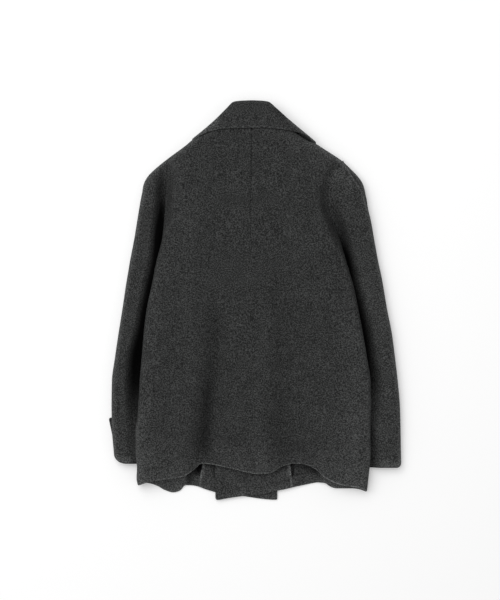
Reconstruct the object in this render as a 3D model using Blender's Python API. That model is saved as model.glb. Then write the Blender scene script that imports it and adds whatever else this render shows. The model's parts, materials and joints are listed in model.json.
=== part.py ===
"""A pea coat of thick wool cloth, laid flat on its front with its back up.

X runs across the coat (wearer's left is -X), Y from the hem (-Y) up to the collar (+Y), and Z up
from the surface it lies on. The origin is the middle of the coat's outline, on that surface.
Tables and sizes are in millimetres; MM turns them into metres.
"""
import math
from collections import namedtuple

import bmesh
import bpy
from mathutils import Vector

MM = 0.001

for old in list(bpy.data.objects):
    bpy.data.objects.remove(old)

# ---------------------------------------------------------------- cloth and fastenings
CLOTH = 2.4            # melton wool
FACING_CLOTH = 2.0
COLLAR_CLOTH = 4.4     # two layers of melton and a canvas
STRAP_CLOTH = 3.0
SEAM = 0.3             # gap between two pieces at a seam
FACING_GAP = 0.5       # between a front and its facing
BUTTON_DIAMETER = 28.0
BUTTON_HEIGHT = 4.4
BUTTON_BEVEL = 1.0
BUTTON_SIDES = 16
BUTTON_CENTRES = [(x, y) for y in (25.0, -80.0, -185.0) for x in (20.0, -58.0)]

WOOL = (0.034, 0.0345, 0.034, 1.0)
WOOL_FACING = (0.036, 0.0365, 0.036, 1.0)
BUTTON_BLACK = (0.012, 0.012, 0.013, 1.0)
WOOL_ROUGHNESS = 0.95
BUTTON_ROUGHNESS = 0.35

# ---------------------------------------------------------------- how the cloth lies
# Heights are above the surface. A round is how far in from a fold the cloth rounds over; a slope is
# the distance over which a piece comes down beside what lies under it.
SHOULDER_HEIGHT = 19.0   # where back and front meet along the shoulder
SHOULDER_ROUND = 17.0
SIDE_ROUND = 17.0
UNDERARM_Y = 80.0        # below this the body's side is closed by its side seam
SLEEVE_CLOSES_Y = 57.0   # below this the sleeve is a closed tube that lies under the body
SLEEVE_FOLD = 13.0       # height of the sleeve's outer fold
SLEEVE_ROUND = 15.0
SLEEVE_SLOPE = 16.0
INNER_ROUND = 8.0        # at the sleeve's hidden inner fold
INNER_SLOPE = 34.0
UPPER_SLOPE = 34.0
CUFF_SLOPE = 34.0
CUFF_CLEAR = 16.0        # a front stays up on the sleeve this far past the cuff
SLEEVE_CLEAR = 2.6       # between the sleeve's top and the front's outer surface
LAYER_SLOPE = 60.0
LAYER_MARGIN = 12.0      # a piece stays up this far outside what it lies on
LAYER_GAP = 1.0
STRAP_SLOPE = 34.0

# Front edge, lapel and collar
NECK_Y = 373.0           # centre-back neck seam
LEFT_EDGE_X, RIGHT_EDGE_X = 46.2, -82.0
LEFT_CUFF_Y, RIGHT_CUFF_Y = -347.0, -352.0
BREAK_Y = 115.0          # where the lapels start to roll back
COVERED_Y = 238.0        # the right front covers its own lapel below this
LAPEL_LIFT = COLLAR_CLOTH + LAYER_GAP
LAPEL_REACH = 112.0
LAPEL_RAMP = 110.0
LAPEL_BELLY = 10.0
LAPEL_FOOT = 0.06        # the lapel starts at this share of its length
OWN_LAPEL_START = 110.0  # along the roll line
ROLL_LIFT = 14.5
ROLL_START = 170.0
ROLL_REACH = 44.0
FRONT_MIDDLE_X = -7.0
GORGE_Y = 322.0
GORGE_GAP = 1.5
COLLAR_TOP = 40.0        # height of the fall's upper side
COLLAR_WRAP = 14.0       # how far the fall comes back inside its turn, underneath
STAND_DROP = 12.5        # thickness of the collar's roll
STAND_HEIGHT = 27.5
STAND_GAP = 0.8
STAND_REACH = 5.6        # it ends this many of the fall's steps from its middle
STAND_ABOVE_SEAM = 2.0
STAND_TAPER = 0.95

# Cuff straps
STRAP_WIDTH = 40.0
STRAP_Y = -266.0
STRAP_LENGTH = 105.0
STRAP_SLANT = 6.5
STRAP_CLEAR = 33.0
LEFT_STRAP_TIP, RIGHT_STRAP_TIP = -306.6, 296.0

# Steps of each sheet of cloth
FLAT_ROWS, CURVED_ROWS = 20, 3
BODY_ROWS = FLAT_ROWS + CURVED_ROWS
NECK_COLUMNS, BACK_FLAT, BACK_CURVED = 5, 8, 4
FRONT_FLAT, FRONT_CURVED = 13, 3
FACING_COLUMNS = 7
SLEEVE_ROWS_BELOW = 13
UPPER_COLUMNS, FOLD_STEPS, LOWER_COLUMNS = 6, 3, 3
UNDER_COLUMNS, UNDER_FOLD_STEPS = 3, 3
COLLAR_COLUMNS, WRAP_STEPS, COLLAR_FRONT_COLUMNS = 7, 8, 3
COLLAR_HALF = COLLAR_COLUMNS + WRAP_STEPS + COLLAR_FRONT_COLUMNS
ROLL_STEPS, FALL_STEPS = 4, 3
STAND_HALF, STAND_ROWS = 5, 3
LAPEL_COLUMNS, LAPEL_ROWS = 3, 6
STRAP_COLUMNS, STRAP_ROWS = 4, 2

# ---------------------------------------------------------------- outlines
# One row for each level of the coat, seen from above.
# body: side seam or armhole; sleeve: outer fold of the sleeve; drop: where the sleeve falls away
# towards the body; inner: hidden inner fold of the sleeve; crest, valley: heights of the sleeve's
# top before and after the drop; fold: height of the body's side fold; edge: height of the back
# just inside that fold.
Level = namedtuple("Level", "y body sleeve drop inner crest valley fold edge")
LEFT_LEVELS = [
    Level(-390, -245.5, -295.0, -233.0, -153.0, 19, 14, 10, 29),
    Level(-349, -249.9, -295.0, -233.0, -153.0, 21, 16, 27, 40),
    Level(-319, -249.9, -297.4, -235.0, -150.0, 23, 17, 30, 44),
    Level(-269, -249.9, -301.4, -244.0, -142.0, 26, 17, 30, 46),
    Level(-218, -247.8, -301.8, -264.0, -134.0, 28, 15, 28, 46),
    Level(-168, -241.5, -301.0, -265.0, -126.0, 31, 13, 28, 46),
    Level(-118, -237.3, -294.4, -260.0, -120.0, 32, 13, 28, 46),
    Level(-67, -233.1, -286.9, -250.0, -118.0, 33, 13, 28, 46),
    Level(-17, -226.8, -278.9, -240.0, -136.0, 33, 13, 28, 46),
    Level(34, -216.3, -271.3, -229.5, -178.0, 33, 13, 25, 46),
    Level(57, -211.0, -267.4, -224.0, -196.0, 33, 13, 20, 46),
    Level(80, -205.8, -263.6, -220.0, -190.0, 33, 13, 12, 46),
    Level(134, -193.2, -253.3, -215.0, -190.0, 33, 13, 12, 46),
    Level(185, -190.0, -244.7, -208.0, -190.0, 34, 13, 12, 46),
    Level(227, -188.0, -236.9, -202.0, -190.0, 35, 17, 15, 45),
    Level(260, -185.9, -225.3, -197.0, -190.0, 35, 28, 25, 43),
    Level(297, -184.0, -192.0, -190.0, -190.0, 34, 34, 31, 40),
]
RIGHT_LEVELS = [
    Level(-401, 235.2, 306.6, 247.0, 162.0, 20, 13, 9, 28),
    Level(-353, 241.5, 306.6, 247.0, 162.0, 22, 14, 23, 36),
    Level(-319, 241.5, 305.6, 248.0, 156.0, 24, 14, 28, 42),
    Level(-269, 241.5, 304.7, 246.5, 144.0, 27, 16, 29, 46),
    Level(-218, 243.6, 303.2, 250.0, 132.0, 29, 14, 28, 46),
    Level(-168, 240.5, 298.8, 257.0, 122.0, 31, 13, 28, 46),
    Level(-118, 233.1, 293.0, 248.0, 112.0, 32, 13, 28, 46),
    Level(-67, 222.6, 286.2, 242.0, 108.0, 33, 13, 28, 46),
    Level(-17, 212.1, 276.4, 229.5, 120.0, 33, 13, 28, 46),
    Level(34, 201.6, 267.8, 215.0, 162.0, 33, 13, 25, 46),
    Level(57, 195.5, 263.4, 211.0, 180.5, 33, 13, 20, 46),
    Level(80, 189.0, 258.3, 206.0, 175.0, 33, 13, 12, 46),
    Level(134, 175.4, 248.4, 190.5, 160.0, 34, 13, 12, 46),
    Level(164, 165.0, 243.0, 180.0, 160.0, 35, 17, 15, 45),
    Level(193, 153.3, 236.5, 172.0, 160.0, 35, 25, 22, 45),
    Level(221, 151.2, 231.6, 170.0, 160.0, 35, 29, 26, 44),
    Level(256, 159.6, 218.4, 170.0, 160.0, 35, 32, 29, 42),
    Level(293.5, 181.0, 187.0, 184.0, 160.0, 34, 34, 31, 40),
]
# The shoulder and sleeve-head outline from the neck out, then on down the sleeve.
Outline = namedtuple("Outline", "x y")
LEFT_SHOULDER = [Outline(-77, 369), Outline(-121, 336), Outline(-143, 326.5),
                 Outline(-160, 314.5), Outline(-184, 297), Outline(-208, 277.5),
                 Outline(-225.3, 260.4), Outline(-234, 243.6), Outline(-236.9, 226.8)]
RIGHT_SHOULDER = [Outline(61, 368), Outline(107, 337), Outline(122, 330),
                  Outline(148, 313.5), Outline(181, 293.5), Outline(199, 277),
                  Outline(215, 260.4), Outline(226, 243.6), Outline(231.6, 220.5)]

# The centre-back seam, from the hem up.
CENTRE_BACK = [Outline(-21, -357), Outline(-15.3, -65), Outline(-14.3, 13), Outline(-11.3, 103),
               Outline(-9.2, 216), Outline(-8, 374)]

# Height of the middle of the back along its length.
Crown = namedtuple("Crown", "y height")
CROWN = [Crown(-410, 21), Crown(-360, 23), Crown(-320, 27), Crown(-250, 30), Crown(-100, 30),
         Crown(50, 31), Crown(200, 33), Crown(300, 35), Crown(376, 31)]

# Hem of the back, and the hems of the two fronts.
Hem = namedtuple("Hem", "x y")
BACK_HEM = [Hem(-246, -386.4), Hem(-216, -378), Hem(-190, -373.8), Hem(-149, -368.3),
            Hem(-128, -354.9), Hem(-113, -344), Hem(-103, -342.6), Hem(-88, -344.2),
            Hem(-40, -354.3), Hem(8, -363.3), Hem(34, -360.8), Hem(51, -350.3),
            Hem(63, -345.2), Hem(79, -341.5), Hem(95, -341.9), Hem(109, -345.2),
            Hem(122, -351.3), Hem(145, -370.4), Hem(174, -383.5), Hem(220, -392.3),
            Hem(235, -401)]
LEFT_FRONT_HEM = [Hem(-246, -386.4), Hem(-216, -381.2), Hem(-190, -394.8), Hem(-173, -400.1),
                  Hem(-160, -396.9), Hem(-149, -387.5), Hem(-137, -384.3), Hem(-118, -387),
                  Hem(-86, -398.2), Hem(-25, -409.5), Hem(46.2, -419)]
RIGHT_FRONT_HEM = [Hem(-82, -418), Hem(-61, -413.7), Hem(-25, -408.7), Hem(8, -406.6),
                   Hem(46, -400), Hem(79, -388.5), Hem(108, -383), Hem(129, -379.5),
                   Hem(150, -380.1), Hem(171, -391.2), Hem(206, -393.8), Hem(235, -401)]

# Soft folds down the back: where each runs, how wide it is and how deep (a ridge is negative).
Fold = namedtuple("Fold", "y x half_width depth")
LEFT_TROUGH = [Fold(20, -97, 26, 0), Fold(-27, -96.6, 24, 3), Fold(-141, -94.5, 24, 6),
               Fold(-210, -101, 22, 9), Fold(-309, -114, 22, 11), Fold(-345, -109, 26, 5)]
RIGHT_TROUGH = [Fold(60, 52, 30, 0), Fold(0, 54.6, 34, 3), Fold(-105, 52, 34, 5),
                Fold(-189, 40, 30, 7), Fold(-300, 47, 30, 9), Fold(-345, 70, 30, 5)]
MIDDLE_RIDGE = [Fold(-100, -30, 34, 0), Fold(-200, -34, 34, -3), Fold(-300, -40, 34, -5),
                Fold(-355, -30, 34, -2)]
LEFT_RIDGE = [Fold(-100, -160, 30, 0), Fold(-220, -160, 30, -2), Fold(-320, -165, 30, -3),
              Fold(-370, -165, 30, -2)]
RIGHT_RIDGE = [Fold(-60, 120, 32, 0), Fold(-200, 124, 32, -3), Fold(-320, 130, 32, -3),
               Fold(-370, 140, 32, -2)]
BACK_FOLDS = (LEFT_TROUGH, RIGHT_TROUGH, MIDDLE_RIDGE, LEFT_RIDGE, RIGHT_RIDGE)

# The collar fall on the back: its top fold and its outer edge, out to where they start to turn,
# and the line about which they turn under to the front.
LEFT_ROLL = [Outline(-8, 419), Outline(-47, 418)]
LEFT_FALL_EDGE = [Outline(-8, 360.6), Outline(-61, 358.7), Outline(-92, 354), Outline(-112, 347)]
LEFT_TURN = [Outline(-87, 378), Outline(-128, 340)]
RIGHT_ROLL = [Outline(-8, 419), Outline(28, 417)]
RIGHT_FALL_EDGE = [Outline(-8, 360.6), Outline(36, 359.7), Outline(85, 352), Outline(107, 343)]
RIGHT_TURN = [Outline(74, 378), Outline(124, 334)]
# Collar tip, end of the gorge seam and lapel tip, measured out from the middle of the fronts.
COLLAR_TIP = Outline(131, 298)
GORGE_END = Outline(105, 290)
LAPEL_TIP = Outline(135, 268)
# The part of the fronts that lies on the buttons.
BUTTON_FIELD = (Outline(-78, -212), Outline(60, 52))


# ---------------------------------------------------------------- small helpers
def smooth(t):
    """0 to 1 with soft ends."""
    t = min(max(t, 0.0), 1.0)
    return t * t * (3.0 - 2.0 * t)


def mix(a, b, t):
    return a + (b - a) * t


def rounded(distance, reach):
    """0 on an edge, rising like a quarter circle to 1 at `reach` from it."""
    t = 1.0 - min(max(distance / reach, 0.0), 1.0)
    return math.sqrt(max(0.0, 1.0 - t * t))


def follow(rows, at, column, key="y"):
    """Reads a column of a table at `at`, with a smooth curve through its rows."""
    rows = sorted(rows, key=lambda row: getattr(row, key))
    places = [getattr(row, key) for row in rows]
    values = [getattr(row, column) for row in rows]
    last = len(rows) - 1
    if at <= places[0]:
        return values[0]
    if at >= places[last]:
        return values[last]
    i = max(k for k in range(last) if places[k] <= at)
    steps = [(values[k + 1] - values[k]) / (places[k + 1] - places[k]) for k in range(last)]

    def slope(k):
        if k in (0, last):
            return steps[0 if k == 0 else last - 1]
        before, after = steps[k - 1], steps[k]
        return 0.0 if before * after <= 0.0 else 2.0 * before * after / (before + after)

    width = places[i + 1] - places[i]
    t = (at - places[i]) / width
    return (values[i] * (1 + 2 * t) * (1 - t) ** 2 + slope(i) * width * t * (1 - t) ** 2
            + values[i + 1] * t * t * (3 - 2 * t) - slope(i + 1) * width * t * t * (1 - t))


def away_from_line(x, y, line):
    """Distance from a point to an open line of Outline points."""
    best = 1e9
    for a, b in zip(line, line[1:]):
        dx, dy = b.x - a.x, b.y - a.y
        t = ((x - a.x) * dx + (y - a.y) * dy) / (dx * dx + dy * dy)
        t = min(max(t, 0.0), 1.0)
        best = min(best, math.hypot(x - a.x - t * dx, y - a.y - t * dy))
    return best


def smooth_line(points, steps):
    """Points along a soft curve through the given Outline points."""
    line = []
    for k in range(len(points) - 1):
        a = points[max(k - 1, 0)]
        b, c = points[k], points[k + 1]
        d = points[min(k + 2, len(points) - 1)]
        for n in range(steps):
            t = n / steps
            weights = (-t + 2 * t * t - t ** 3, 2 - 5 * t * t + 3 * t ** 3,
                       t + 4 * t * t - 3 * t ** 3, -t * t + t ** 3)
            line.append(Outline(sum(w * p.x for w, p in zip(weights, (a, b, c, d))) / 2,
                                sum(w * p.y for w, p in zip(weights, (a, b, c, d))) / 2))
    line.append(points[-1])
    return line


def over_buttons(x, y):
    """1 where a front rests on its buttons, 0 away from them."""
    side = max(BUTTON_FIELD[0].x - x, x - BUTTON_FIELD[1].x, 0.0)
    end = max(BUTTON_FIELD[0].y - y, y - BUTTON_FIELD[1].y, 0.0)
    return smooth(1.0 - math.hypot(side, end) / LAYER_SLOPE)


# ---------------------------------------------------------------- one side of the coat
class Side:
    """The left or the right side: sign is -1 on the wearer's left and +1 on the right."""

    def __init__(self, sign, levels, shoulder, front_edge_x, front_hem, cuff_y, strap_tip,
                 collar):
        self.sign = sign
        self.levels = levels
        self.shoulder = smooth_line(shoulder, 6)
        self.neck = shoulder[0]
        self.shoulder_end = shoulder[4]
        self.front_edge_x = front_edge_x
        self.front_hem = front_hem
        self.hem_corner = front_hem[0] if sign < 0 else front_hem[-1]
        self.cuff_y = cuff_y
        self.strap_tip = strap_tip
        self.roll, self.fall_edge, self.turn = collar

    def at(self, y, column):
        return follow(self.levels, y, column)

    def from_body_edge(self, x, y):
        return max(0.0, (self.at(y, "body") - x) * self.sign)

    def top_y(self, x):
        """Top edge of the back: the neck seam out to the neck point, then the shoulder seam."""
        if x * self.sign <= self.neck.x * self.sign:
            start = CENTRE_BACK[-1].x
            t = (x - start) / (self.neck.x - start)
            return mix(NECK_Y, self.neck.y, t * t)
        line = sorted(self.shoulder, key=lambda p: p.x)
        for a, b in zip(line, line[1:]):
            if a.x <= x <= b.x:
                return mix(a.y, b.y, (x - a.x) / (b.x - a.x))
        return self.shoulder_end.y

    def sleeve_outer_x(self, y):
        """Outer fold of the sleeve, or the outline of the sleeve head higher up."""
        head = [p for p in self.shoulder if p.y <= self.shoulder_end.y]
        if y < head[-1].y:
            return self.at(y, "sleeve")
        for a, b in zip(head, head[1:]):
            if b.y <= y <= a.y:
                return mix(a.x, b.x, (y - a.y) / (b.y - a.y))
        return head[0].x

    def from_sleeve_edge(self, x, y):
        if y > self.shoulder[-1].y:
            return away_from_line(x, y, self.shoulder)
        return abs(x - self.sleeve_outer_x(y))

    def over_shoulder(self, x, y, height):
        """Brings a height down, or up, to the shoulder seam near the shoulder line."""
        near = rounded(away_from_line(x, y, self.shoulder), SHOULDER_ROUND)
        return mix(SHOULDER_HEIGHT, height, near)

    # heights ------------------------------------------------------------
    def back_height(self, x, y):
        """Outer surface of the back."""
        middle = follow(CROWN, y, "height")
        reach = abs(x - follow(CENTRE_BACK, y, "x")) / abs(self.at(y, "body"))
        top = mix(middle, self.at(y, "edge"), smooth((reach - 0.35) / 0.5))
        for rows in BACK_FOLDS:
            centre = follow(rows, y, "x")
            spread = follow(rows, y, "half_width")
            top -= follow(rows, y, "depth") * math.exp(-((x - centre) / spread) ** 2)
        top = mix(self.at(y, "fold"), top, rounded(self.from_body_edge(x, y), SIDE_ROUND))
        return self.over_shoulder(x, y, top)

    def sleeve_top_height(self, x, y):
        """Top of the sleeve, without the rounding at its outer fold."""
        past = (self.at(y, "drop") - x) * self.sign
        slope = SLEEVE_SLOPE * smooth((300.0 - y) / 60.0) + 4.0
        return mix(self.at(y, "crest"), self.at(y, "valley"), smooth(past / slope + 0.5))

    def sleeve_fold_height(self, y):
        return mix(SLEEVE_FOLD, SHOULDER_HEIGHT, smooth((y - 100.0) / 120.0))

    def over_sleeve(self, x, y):
        """How far a front is lifted by the sleeve that is folded under it."""
        inside = (self.at(y, "inner") - x) * self.sign
        across = smooth((INNER_SLOPE - inside) / INNER_SLOPE)
        upper = smooth((SLEEVE_CLOSES_Y + UPPER_SLOPE - y) / UPPER_SLOPE)
        lower = smooth((y - self.cuff_y + CUFF_SLOPE + CUFF_CLEAR) / CUFF_SLOPE)
        return (self.sleeve_top_height(x, y) + SLEEVE_CLEAR) * across * upper * lower

    def fold_height(self, y):
        """Height at which the front's side edge lies."""
        return self.at(y, "fold") * self.joined(y)

    def joined(self, y):
        """1 along the side seam, 0 up the armhole."""
        return smooth((UNDERARM_Y - y) / (UNDERARM_Y - SLEEVE_CLOSES_Y))

    def front_height(self, x, y):
        """Outer surface of the front, which is its lower one here."""
        low = max(self.over_sleeve(x, y), self.layers_below(x, y))
        low = mix(self.fold_height(y), low, rounded(self.from_body_edge(x, y), SIDE_ROUND))
        return self.over_shoulder(x, y, low)

    def lapel_across(self, x, y):
        """Distance past the roll line towards the side, and how far up the roll line."""
        dx, dy = self.neck.x - self.front_edge_x, self.neck.y - BREAK_Y
        length = math.hypot(dx, dy)
        px, py = x - self.front_edge_x, y - BREAK_Y
        return self.sign * (px * dy - py * dx) / length, (px * dx + py * dy) / length

    def over_lapel(self, x, y, start):
        """1 where the turned-back lapel and the collar's end lie under the front."""
        across, along = self.lapel_across(x, y)
        width = LAPEL_REACH * smooth((along - start) / LAPEL_RAMP)
        beside = LAYER_MARGIN + LAYER_SLOPE
        return (smooth((width + beside - across) / LAYER_SLOPE)
                * smooth((beside + across) / LAYER_SLOPE)
                * smooth((along - start + LAYER_SLOPE) / LAYER_SLOPE))

    def layers_below(self, x, y):
        """Height of what lies under this front: buttons, lapels and the other front."""
        low = (BUTTON_HEIGHT + 0.6) * over_buttons(x, y)
        low = max(low, LAPEL_LIFT * LEFT.over_lapel(x, y, 0.0))
        roll = ROLL_LIFT * self.over_collar_roll(x, y)
        if self is LEFT:
            return max(low, roll)
        own_lapel = LAPEL_LIFT * self.over_lapel(x, y, OWN_LAPEL_START)
        return low + self.over_left_front(x, y) + max(own_lapel, roll)

    def over_collar_roll(self, x, y):
        """1 where the collar's roll lies under the front, beside the neck."""
        across, along = self.lapel_across(x, y)
        return smooth((ROLL_REACH - across) / 32.0) * smooth((along - ROLL_START) / 40.0)

    def over_left_front(self, x, y):
        """How far the outer front and its facing lift what lies on them."""
        edge = LEFT.front_free_x(y)
        covered = smooth((edge + LAYER_MARGIN + LAYER_SLOPE - x) / LAYER_SLOPE)
        faced = smooth((BREAK_Y + LAYER_SLOPE - y) / LAYER_SLOPE)
        return covered * (CLOTH + LAYER_GAP + (FACING_CLOTH + SEAM) * faced)

    # edges in plan -------------------------------------------------------
    def front_free_x(self, y):
        """Front edge, then the roll line of the lapel above the break."""
        t = min(max((y - BREAK_Y) / (self.neck.y - BREAK_Y), 0.0), 1.0)
        return mix(self.front_edge_x, self.neck.x, t)


LEFT = Side(-1, LEFT_LEVELS, LEFT_SHOULDER, LEFT_EDGE_X, LEFT_FRONT_HEM, LEFT_CUFF_Y,
            LEFT_STRAP_TIP, (LEFT_ROLL, LEFT_FALL_EDGE, LEFT_TURN))
RIGHT = Side(1, RIGHT_LEVELS, RIGHT_SHOULDER, RIGHT_EDGE_X, RIGHT_FRONT_HEM, RIGHT_CUFF_Y,
             RIGHT_STRAP_TIP, (RIGHT_ROLL, RIGHT_FALL_EDGE, RIGHT_TURN))


# ---------------------------------------------------------------- building sheets
def material(name, colour, roughness):
    made = bpy.data.materials.get(name)
    if made is None:
        made = bpy.data.materials.new(name)
        made.use_nodes = True
        shader = made.node_tree.nodes["Principled BSDF"]
        shader.inputs["Base Color"].default_value = colour
        shader.inputs["Roughness"].default_value = roughness
    return made


def natural(i, j, normal):
    """Leaves the direction of a wall as it is."""
    return normal


def sheet(name, columns, rows, place, thickness, colour, turned=False, lean=natural):
    """A wall of cloth: place(i, j) gives its outer surface, and the cloth lies behind that.

    lean(i, j, normal) may turn the wall at an edge, so that it ends flat against its neighbour.
    """
    bm = bmesh.new()
    behind = bm.verts.layers.float_vector.new("behind")
    bmesh.ops.create_grid(bm, x_segments=columns, y_segments=rows, size=0.5)
    steps = {}
    for vert in bm.verts:
        i = round((vert.co.x + 0.5) * columns)
        j = round((vert.co.y + 0.5) * rows)
        steps[vert] = (i, j)
        vert.co = Vector(place(i, j)) * MM
    if turned:
        bmesh.ops.reverse_faces(bm, faces=bm.faces)
    bm.normal_update()
    for vert, (i, j) in steps.items():
        normal = Vector(lean(i, j, vert.normal.copy())).normalized()
        vert[behind] = normal * (-thickness * MM)
    doubled = bmesh.ops.extrude_face_region(bm, geom=list(bm.faces), use_keep_orig=True)
    for item in doubled["geom"]:
        if isinstance(item, bmesh.types.BMVert):
            item.co += item[behind]
    bmesh.ops.recalc_face_normals(bm, faces=bm.faces)
    mesh = bpy.data.meshes.new(name)
    bm.to_mesh(mesh)
    bm.free()
    mesh.shade_smooth()
    mesh.materials.append(colour)
    piece = bpy.data.objects.new(name, mesh)
    bpy.context.collection.objects.link(piece)
    return piece


def stepped(start, end, flat, curved, reach):
    """Places from start to end: even steps, then steps round the fold at the end."""
    sign = 1.0 if end > start else -1.0
    turn = end - sign * reach
    even = [mix(start, turn, k / flat) for k in range(flat)]
    bend = [end - sign * reach * (1 - math.cos(math.pi / 2 * (1 - k / curved)))
            for k in range(curved + 1)]
    return even + bend


def back_columns(side, start, end):
    """Places across the back from its middle to its side, with one at the neck point."""
    share = (side.neck.x - CENTRE_BACK[-1].x) / (side.shoulder_end.x - CENTRE_BACK[-1].x)
    neck = mix(start, end, share)
    inner = [mix(start, neck, k / NECK_COLUMNS) for k in range(NECK_COLUMNS)]
    return inner + stepped(neck, end, BACK_FLAT, BACK_CURVED, SIDE_ROUND)


def row_heights(bottom, top):
    return stepped(bottom, top, FLAT_ROWS, CURVED_ROWS, SHOULDER_ROUND * 1.3)


def back(side, name):
    """Half of the back, from the centre-back seam to the side seam and armhole."""
    start = CENTRE_BACK[0].x
    columns = NECK_COLUMNS + BACK_FLAT + BACK_CURVED
    hem_x = back_columns(side, start, side.hem_corner.x)
    top_x = back_columns(side, CENTRE_BACK[-1].x, side.shoulder_end.x)

    def place(i, j):
        y = row_heights(follow(BACK_HEM, hem_x[i], "y", "x"), side.top_y(top_x[i]))[j]
        seam = follow(CENTRE_BACK, y, "x") + side.sign * SEAM / 2
        x = back_columns(side, seam, side.at(y, "body"))[i]
        height = side.back_height(x, y)
        if i == columns or (j == BODY_ROWS and i >= NECK_COLUMNS):
            height += SEAM / 2
        return x, y, height

    def lean(i, j, normal):
        if i == 0:
            normal.x = 0.0
        if i == columns:
            return Vector((side.sign, 0.0, 0.0))
        if j == BODY_ROWS and i >= NECK_COLUMNS:
            normal.z = 0.0
        return normal

    return sheet(name, columns, BODY_ROWS, place, CLOTH, material("wool", WOOL, WOOL_ROUGHNESS),
                 turned=side is LEFT, lean=lean)


def front_point(side, i, j):
    hem_x = stepped(side.front_edge_x, side.hem_corner.x, FRONT_FLAT, FRONT_CURVED, SIDE_ROUND)[i]
    top_x = stepped(side.neck.x, side.shoulder_end.x, FRONT_FLAT, FRONT_CURVED, SIDE_ROUND)[i]
    y = row_heights(follow(side.front_hem, hem_x, "y", "x"), side.top_y(top_x))[j]
    x = stepped(side.front_free_x(y), side.at(y, "body"), FRONT_FLAT, FRONT_CURVED,
                SIDE_ROUND)[i]
    height = side.front_height(x, y)
    if i == FRONT_FLAT + FRONT_CURVED or j == BODY_ROWS:
        height = max(height - SEAM / 2, 0.0)
    return x, y, height


def front(side, name):
    """The lower layer: it lies on the surface, the sleeves, the lapels and the buttons."""
    columns = FRONT_FLAT + FRONT_CURVED

    def place(i, j):
        return front_point(side, i, j)

    def lean(i, j, normal):
        if j == BODY_ROWS:
            normal.z = 0.0
        elif i == columns:
            level = Vector((side.sign, 0.0, 0.0))
            return Vector((0.0, 0.0, -1.0)).lerp(level, side.joined(place(i, j)[1]))
        return normal

    return sheet(name, columns, BODY_ROWS, place, CLOTH, material("wool", WOOL, WOOL_ROUGHNESS),
                 turned=side is RIGHT, lean=lean)


def facing(side, name):
    """Lies on the inner side of the front, from its edge in."""
    rows = max(j for j in range(FLAT_ROWS) if front_point(side, 0, j)[1] < BREAK_Y)

    def place(i, j):
        x, y, height = front_point(side, i, j)
        return x, y, height + CLOTH + FACING_GAP

    return sheet(name, FACING_COLUMNS, rows, place, FACING_CLOTH,
                 material("facing", WOOL_FACING, WOOL_ROUGHNESS), turned=side is RIGHT)


def sleeve_rows(side):
    """Levels of the sleeve's rows: even steps up to the underarm, then the body's own rows."""
    top = SLEEVE_CLOSES_Y - 6.0
    below = [mix(side.cuff_y, top, k / SLEEVE_ROWS_BELOW) for k in range(SLEEVE_ROWS_BELOW + 1)]
    return below + [y for y in row_heights(side.hem_corner.y, side.shoulder_end.y)[:-1] if y > top + 8.0]


def sleeve_seam_x(side, y):
    """Edge of the top sleeve: the armhole, or the hidden seam to the under sleeve."""
    body = side.at(y, "body") + side.sign * SEAM
    return mix(body, side.at(y, "inner"), 0.35 * smooth((SLEEVE_CLOSES_Y - y) / 70.0))


def sleeve_low(side, x, y):
    """Height of the sleeve's lower layer: it lies on the surface, or on the cuff strap."""
    near = max(abs(y - STRAP_Y) - STRAP_WIDTH / 2 - STRAP_CLEAR, 0.0)
    return (STRAP_CLOTH + 0.5) * smooth(1.0 - near / STRAP_SLOPE)


def sleeve_ring(side, y):
    """Outline of the sleeve at one level, from the seam above, round the outer fold, to below."""
    outer = side.sleeve_outer_x(y)
    seam = sleeve_seam_x(side, y)
    step = 1.0
    lean = (side.sleeve_outer_x(y + step) - side.sleeve_outer_x(y - step)) / (2 * step)
    reach = min(SLEEVE_ROUND * math.sqrt(1 + lean * lean), abs(outer - seam) * 0.8)
    fold = side.sleeve_fold_height(y)
    upper = stepped(seam, outer, UPPER_COLUMNS, FOLD_STEPS, reach)
    lower = stepped(seam, outer, LOWER_COLUMNS, FOLD_STEPS, reach)
    ring = []
    for x in upper:
        near = rounded(side.from_sleeve_edge(x, y), SLEEVE_ROUND)
        ring.append((x, mix(fold, side.sleeve_top_height(x, y), near)))
    for x in reversed(lower[:-1]):
        near = rounded(side.from_sleeve_edge(x, y), SLEEVE_ROUND)
        ring.append((x, mix(fold, sleeve_low(side, x, y), near)))
    return ring


def sleeve_top(side, name):
    """Sewn into the armhole, over the outer fold and back underneath."""
    rows = sleeve_rows(side)
    rings = [sleeve_ring(side, y) for y in rows]
    last = len(rings[0]) - 1

    def place(i, j):
        x, height = rings[j][i]
        return x, rows[j], height

    def lean(i, j, normal):
        if rows[j] > SLEEVE_CLOSES_Y and i in (0, last):
            return Vector((0.0, 0.0, 1.0 if i == 0 else -1.0))
        return normal

    return sheet(name, last, len(rows) - 1, place, CLOTH, material("wool", WOOL, WOOL_ROUGHNESS),
                 turned=side is LEFT, lean=lean)


def sleeve_under(side, name):
    """Closes the sleeve round its inner fold, under the body."""
    rows = sleeve_rows(side)[:SLEEVE_ROWS_BELOW]

    def ring(y):
        seam = sleeve_seam_x(side, y) - side.sign * SEAM
        inner = side.at(y, "inner")
        across = stepped(seam, inner, UNDER_COLUMNS, UNDER_FOLD_STEPS, INNER_ROUND)
        fold = side.at(y, "valley") / 2
        points = []
        for x in across:
            near = rounded(abs(x - inner), INNER_ROUND)
            points.append((x, mix(fold, side.sleeve_top_height(x, y), near)))
        for x in reversed(across[:-1]):
            near = rounded(abs(x - inner), INNER_ROUND)
            points.append((x, mix(fold, sleeve_low(side, x, y), near)))
        return points

    rings = [ring(y) for y in rows]
    return sheet(name, len(rings[0]) - 1, len(rows) - 1,
                 lambda i, j: (rings[j][i][0], rows[j], rings[j][i][1]), CLOTH,
                 material("wool", WOOL, WOOL_ROUGHNESS), turned=side is RIGHT)


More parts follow.
